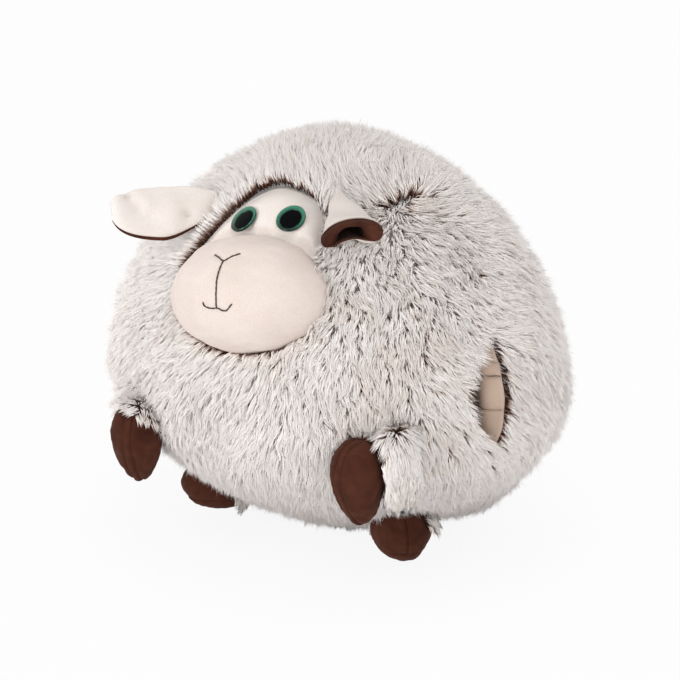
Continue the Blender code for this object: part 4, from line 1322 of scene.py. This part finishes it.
def teaseWisps(strands, count, rng):
    # Fine straight hairs that leave the strands below their middle and end near their tips
    own = rng.integers(0, len(strands["root"]), count)
    middle, tip, normal = (strands[key][own] for key in ("middle", "tip", "normal"))
    look = fur["wisp"]
    way = tip - middle
    size = np.linalg.norm(way, axis=1, keepdims=True)
    way = unit(unit(way) + rng.normal(0, look["spread"], (count, 3))
               + normal * rng.uniform(*look["rise"], (count, 1)))
    start = strands["root"][own] * (1 - look["from"]) + middle * look["from"]
    start += rng.normal(0, look["jitter"], (count, 3))
    return {"root": start, "tip": start + way * size * rng.uniform(*look["reach"], (count, 1)),
            "normal": normal, "owner": own}


def frostOf(points, rng):
    # 0 where the dark roots show most, 1 where the pile is all pale
    frost = fur["frost"] + ripples(points, fur["frostRipples"])
    frost -= fur["lowFrontLoss"] * smooth(0.17, 0.10, points[:, 2]) * smooth(0.0, -0.06, points[:, 1])
    for middle, reach, loss in fur["darkPatches"]:
        frost -= loss * bellAround(points, middle, reach)
    loss, reach = fur["faceLoss"]
    frost -= loss * bell(faceDistance(points), reach)
    for _, far, reach, strength in partingLines(points):
        frost -= fur["partingLoss"] * strength * bell(far, reach)
    frost += fur["backGain"] * smooth(0.0, 0.10, points[:, 1])
    return np.clip(frost + rng.normal(0, fur["frostSpread"], len(points)), *fur["frostRange"])


def spikeMesh(name, strands, keep, frost, halfWidth):
    # Closed three-sided spikes, with one bend where a middle is given
    bent = "middle" in strands
    centres = [strands[key][keep] for key in (("root", "middle") if bent else ("root",))]
    tip, normal = strands["tip"][keep], strands["normal"][keep]
    frost, halfWidth = frost[keep], halfWidth[keep]
    count, rings = len(tip), len(centres)
    along = unit(tip - centres[0])
    side = unit(np.cross(normal, along))
    lift = np.cross(along, side)
    corners = 3 * rings + 1
    verts, shade = np.empty((2, count, corners, 3))
    share = fur["normalShare"]
    for ring, centre in enumerate(centres):
        width = halfWidth * (fur["rootWidth"] if bent and ring == 0 else 1.0)
        for corner in range(3):
            turn = math.pi / 2 + 2 * math.pi * corner / 3
            around = side * math.cos(turn) + lift * (math.sin(turn) * fur["flatness"])
            verts[:, ring * 3 + corner] = centre + around * width[:, None]
            shade[:, ring * 3 + corner] = unit(normal * share + unit(around) * (1 - share))
    verts[:, -1] = tip
    shade[:, -1] = unit(normal * share + along * (1 - share))
    verts[..., 2] = np.maximum(verts[..., 2], fur["floorGap"])
    low = 3 * (rings - 1)
    faces = [(2, 1, 0)] + ([(0, 1, 4, 3), (1, 2, 5, 4), (2, 0, 3, 5)] if bent else [])
    faces += [(low + a, low + b, corners - 1) for a, b in ((0, 1), (1, 2), (2, 0))]
    pattern = np.concatenate(faces)
    starts = np.cumsum([0] + [len(face) for face in faces[:-1]])
    size, order = len(pattern), np.arange(count)[:, None]
    mesh = bpy.data.meshes.new(name)
    mesh.vertices.add(count * corners)
    mesh.vertices.foreach_set("co", verts.astype(np.float32).ravel())
    mesh.loops.add(count * size)
    mesh.loops.foreach_set("vertex_index", (pattern + corners * order).ravel().astype(np.int32))
    mesh.polygons.add(count * len(faces))
    mesh.polygons.foreach_set("loop_start", (starts + size * order).ravel().astype(np.int32))
    layer = mesh.uv_layers.new(name="OFBake")
    heights = np.array(([0] * 3 + [0.5] * 3 if bent else [0.42] * 3) + [1.0])
    streak = 0.004 * np.array([0, 1, 2] * rings + [1])
    uv = np.empty((count, size, 2), dtype=np.float32)
    uv[..., 0] = frost[:, None] * 0.98 + streak[pattern]
    uv[..., 1] = 0.01 + 0.98 * heights[pattern]
    layer.data.foreach_set("uv", uv.ravel())
    mesh.update(calc_edges=True)
    mesh.shade_smooth()
    mesh.normals_split_custom_set_from_vertices(shade.reshape(-1, 3).tolist())
    return addToScene(name, mesh, "fur")


def insideHorn(points):
    # True inside the rolled left ear
    look = earLook["left"]
    root, heading, across, up, length = earAxes("left")
    along = ((points - root) @ heading + earLook["rootDepth"]) / length
    radius = look["rootRadius"] + (look["rimRadius"] - look["rootRadius"]) * along
    section = 1 + (look["section"] - 1) * along
    offset = points - root - look["lift"] * up
    far = np.hypot(offset @ across, offset @ up / section + radius)
    return (along > 0.05) & (along < 1.15) & (far < radius * 1.02)


def furOnBody():
    rng = np.random.default_rng(fur["seed"])
    inset = body["backingInset"]

    def rooted(count, spread, margin):
        share, angle = spreadEvenly(count, inset)
        share = np.clip(share + rng.normal(0, spread, count), margin, 1 - margin)
        return bodyAt(share, angle, inset), bodyNormalAt(share, angle, inset)

    def upright(points):
        # The pile stands up beside the forehead, where its dark roots show
        share, reach = fur["borderStand"]
        return share * bell(foreheadDistance(points), reach)

    roots, normals = rooted(fur["strands"], *fur["strandJitter"])
    keep = ~bareSpots(roots)
    normals = normals[keep]
    roots = swollen(roots[keep], normals)
    # The cover is pulled up to the velour round the forehead, so its roots show there
    rise, reach = fur["borderRise"]
    roots = roots + normals * (rise * bell(foreheadDistance(roots), reach))[:, None]
    lockRoots, lockNormals = rooted(fur["locks"], *fur["lockJitter"])
    lockRoots = swollen(lockRoots, lockNormals)
    strands = growStrands((roots, normals, furFlow(roots, normals)),
                          (lockRoots, lockNormals, furFlow(lockRoots, lockNormals)), 1.0, rng, upright=upright)
    frost = frostOf(roots, rng)
    halfWidth = fur["halfWidth"] * rng.uniform(*fur["widths"], len(roots))
    wisps = teaseWisps(strands, fur["wisps"], rng)
    owner = wisps["owner"]
    clear = ~(insideHorn(strands["tip"]) | insideHorn(strands["middle"]))
    clearWisp = ~(insideHorn(wisps["tip"]) | insideHorn(wisps["root"]))
    tipClear, middleClear, wispClear = fur["sleeveClear"]
    for side in sides:  # nothing of the body's pile lies over a sleeve
        sleeve = limbs[side]["arm"][1]
        clear &= (fromCore(strands["tip"], sleeve) > tipClear) & (fromCore(strands["middle"], sleeve) > middleClear)
        clearWisp &= fromCore(wisps["tip"], sleeve) > wispClear
    wispWidth = fur["wispHalfWidth"] * rng.uniform(*fur["wispWidths"], len(owner))
    angles = np.arctan2(roots[:, 1], roots[:, 0])
    low = roots[:, 2] < fur["lowBelow"]
    front, back = fur["seamFront"], fur["seamBack"]
    quarter = {
        "front": (angles > -math.pi - front) & (angles < front),
        "left": (angles >= front) & (angles < back),
        "back": (angles >= back) & (angles < math.pi - back),
    }
    quarter["right"] = ~(quarter["front"] | quarter["left"] | quarter["back"])
    nodes = {
        "frontFurUpper": ["body_front_panel"],
        "leftFurUpper": ["body_left_fore_panel", "body_left_rear_panel"],
        "backFurUpper": ["body_back_panel"],
        "backFurLower": ["base_panel"],
        "rightFurUpper": ["body_right_fore_panel", "body_right_rear_panel"],
    }
    for name, mine in quarter.items():
        for pieceName, there in ((name + "FurUpper", ~low), (name + "FurLower", low)):
            piece = spikeMesh(pieceName, strands, mine & there & clear, frost, halfWidth)
            assign(piece, "body", "frosted_fur", *nodes.get(pieceName, ()))
        fine = spikeMesh(name + "Wisps", wisps, mine[owner] & clearWisp, frost[owner], wispWidth)
        assign(fine, "body", "frosted_fur")
        print(name, "fur", int(mine.sum()), "strands", int(mine[owner].sum()), "wisps")


def furUnderneath():
    # The pile pressed flat between the body and what it rests on
    rng = np.random.default_rng(fur["seed"] + 5)
    count, inset = fur["underStrands"], body["backingInset"]
    radius = np.sqrt((np.arange(count) + 0.5) / count)
    turn = np.arange(count) * fur["goldenAngle"]
    wide, deep, setback = formAt(0, inset)
    flat = np.stack([wide * radius * np.cos(turn), deep * radius * np.sin(turn), np.zeros(count)], axis=-1)
    roots, normals, flows = flat + np.array([0, setback, inset]), np.tile([0.0, 0.0, -1.0], (count, 1)), unit(flat)
    locks = [part[::fur["underPerLock"]] for part in (roots, normals, flows)]
    strands = growStrands((roots, normals, flows), locks, 1.0, rng)
    frost = np.clip(fur["underFrost"] + rng.normal(0, fur["frostSpread"], count), *fur["frostRange"])
    piece = spikeMesh("baseFur", strands, np.ones(count, dtype=bool), frost, np.full(count, fur["underHalfWidth"]))
    assign(piece, "body", "frosted_fur")


limbFur = {
    "strands": 5200,
    "locks": 300,
    "scale": {"arm": 0.90, "foot": 0.52},
    "collarScale": 0.62,
    "lean": math.radians(22),
    "collarLean": math.radians(14),
    "collarWay": {"arm": (0.415, 0.540, 0.732), "foot": (0.578, 0.582, 0.572)},  # the side the fur laps over
    "collarEdge": {"leftArm": 0.93, "rightArm": 0.64, "leftFoot": 0.84, "rightFoot": 0.20},
    "clearWay": (0.512, -0.804, 0.301),  # the side of each arm's hoof that stays clear, up to the edge below
    "clearEdge": {"left": 0.68, "right": 0.38},
    "collarRipples": [(0.06, 0.012, 83)],
    "clearRipples": [(0.10, 0.012, 84)],
    "hoofShare": 0.97,
    "lowest": 0.003,
    "widthShare": 0.85,
    "frost": 0.36,
    "frostRipples": [(0.28, 0.02, 71)],
    "frostSpread": 0.12,
    "collarLoss": 0.12,
    "partLoss": 0.35,  # where the sleeve parts over the hoof
}


def ballRoots(count):
    index = np.arange(count) + 0.5
    level = 1 - 2 * index / count
    turn = index * fur["goldenAngle"]
    flat = np.sqrt(1 - level ** 2)
    return np.stack([flat * np.cos(turn), flat * np.sin(turn), level], axis=-1)


def furOnLimb(side, limb):
    rng = np.random.default_rng(fur["seed"] + 11 + (2 if limb == "arm" else 5) + sides[side])
    hoof, core = limbs[side][limb]
    name = side + limb.capitalize()
    half = np.array(limbLook[limb + "HoofHalf"])
    turn, back = np.array(hoof.to_3x3()), np.array(hoof.inverted().to_3x3())
    tipWay = turn @ np.array([0, 0, 1.0])
    way = np.array(limbFur["collarWay"][limb])
    lapWay = unit(half * (back @ way))

    def inHoof(points):
        # Places as shares of the hoof's own half sizes
        return (points - np.array(hoof.translation)) @ back.T / half

    def combed(roots, normals, keep, flow):
        keep &= (insideBody(roots, body["backingInset"]) > 1.0) & (roots[:, 2] > limbFur["lowest"])
        roots, normals = roots[keep], normals[keep]
        return roots, normals, unit(flow - normals * (normals @ flow)[:, None])

    def sleeve(count):
        ways = ballRoots(count)
        roots = moveBy(ways, core)
        normals = unit(ways @ np.array(core.inverted().to_3x3()))
        keep = np.linalg.norm(inHoof(roots), axis=1) > limbFur["hoofShare"]
        return combed(roots, normals, keep, tipWay * 0.9 + np.array([0.20 * sides[side], -0.2, -0.5]))

    def collar(count):
        ways = ballRoots(count)
        local = ways * half
        local[:, :2] *= (1 - limbLook["taper"][limb] * ways[:, 2])[:, None]
        roots = moveBy(local, hoof)
        normals = unit((ways / half) @ turn.T)
        keep = ways @ lapWay > limbFur["collarEdge"][name] + ripples(roots, limbFur["collarRipples"])
        return combed(roots, normals, keep, tipWay * 0.7 - way * 0.8 + np.array([0, 0, -0.3]))

    count, lockCount = limbFur["strands"], limbFur["locks"]
    grown = growStrands(sleeve(count), sleeve(lockCount), limbFur["scale"][limb], rng, limbFur["lean"])
    lapped = growStrands(collar(count), collar(lockCount), limbFur["collarScale"], rng, limbFur["collarLean"])
    strands = {key: np.concatenate([grown[key], lapped[key]]) for key in grown}
    roots = strands["root"]
    keep = np.ones(len(roots), dtype=bool)
    if limb == "arm":
        ahead = unit(back @ np.array(limbFur["clearWay"]) / half)
        for key in ("middle", "tip"):
            local = inHoof(strands[key])
            depth = local @ ahead
            beside = np.linalg.norm(local - depth[:, None] * ahead, axis=1)
            onLap = local @ lapWay > limbFur["clearEdge"][side] + ripples(roots, limbFur["clearRipples"])
            keep &= onLap | (beside > 1.0) | (depth < -0.2)
    frost = limbFur["frost"] + ripples(roots, limbFur["frostRipples"])
    frost += rng.normal(0, limbFur["frostSpread"], len(roots))
    frost[len(grown["root"]):] -= limbFur["collarLoss"]
    if limb == "arm":  # dark roots where the sleeve parts over the hoof
        above = roots[:, 2] > hoof.translation.z
        frost -= limbFur["partLoss"] * bell(inHoof(roots)[:, 2] * half[2], 0.02) * above
    piece = spikeMesh(name + "Fur", strands, keep, np.clip(frost, *fur["frostRange"]),
                      np.full(len(roots), fur["halfWidth"] * limbFur["widthShare"]))
    assign(piece, side + "_" + limb, "frosted_fur", side + "_" + limb + "_fur")


furOnBody()
furUnderneath()
for furSide in sides:
    for furLimb in ("arm", "foot"):
        furOnLimb(furSide, furLimb)
print("fur ready")


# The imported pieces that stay

keptFinishes = {
    "body_stuffing": "filling", "muzzle_stuffing": "filling",
    "left_eye_washer": "washer", "right_eye_washer": "washer",
}
for nodeName, finish in keptFinishes.items():
    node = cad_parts[nodeName]
    for slot in node.material_slots:
        slot.material = finishes[finish]
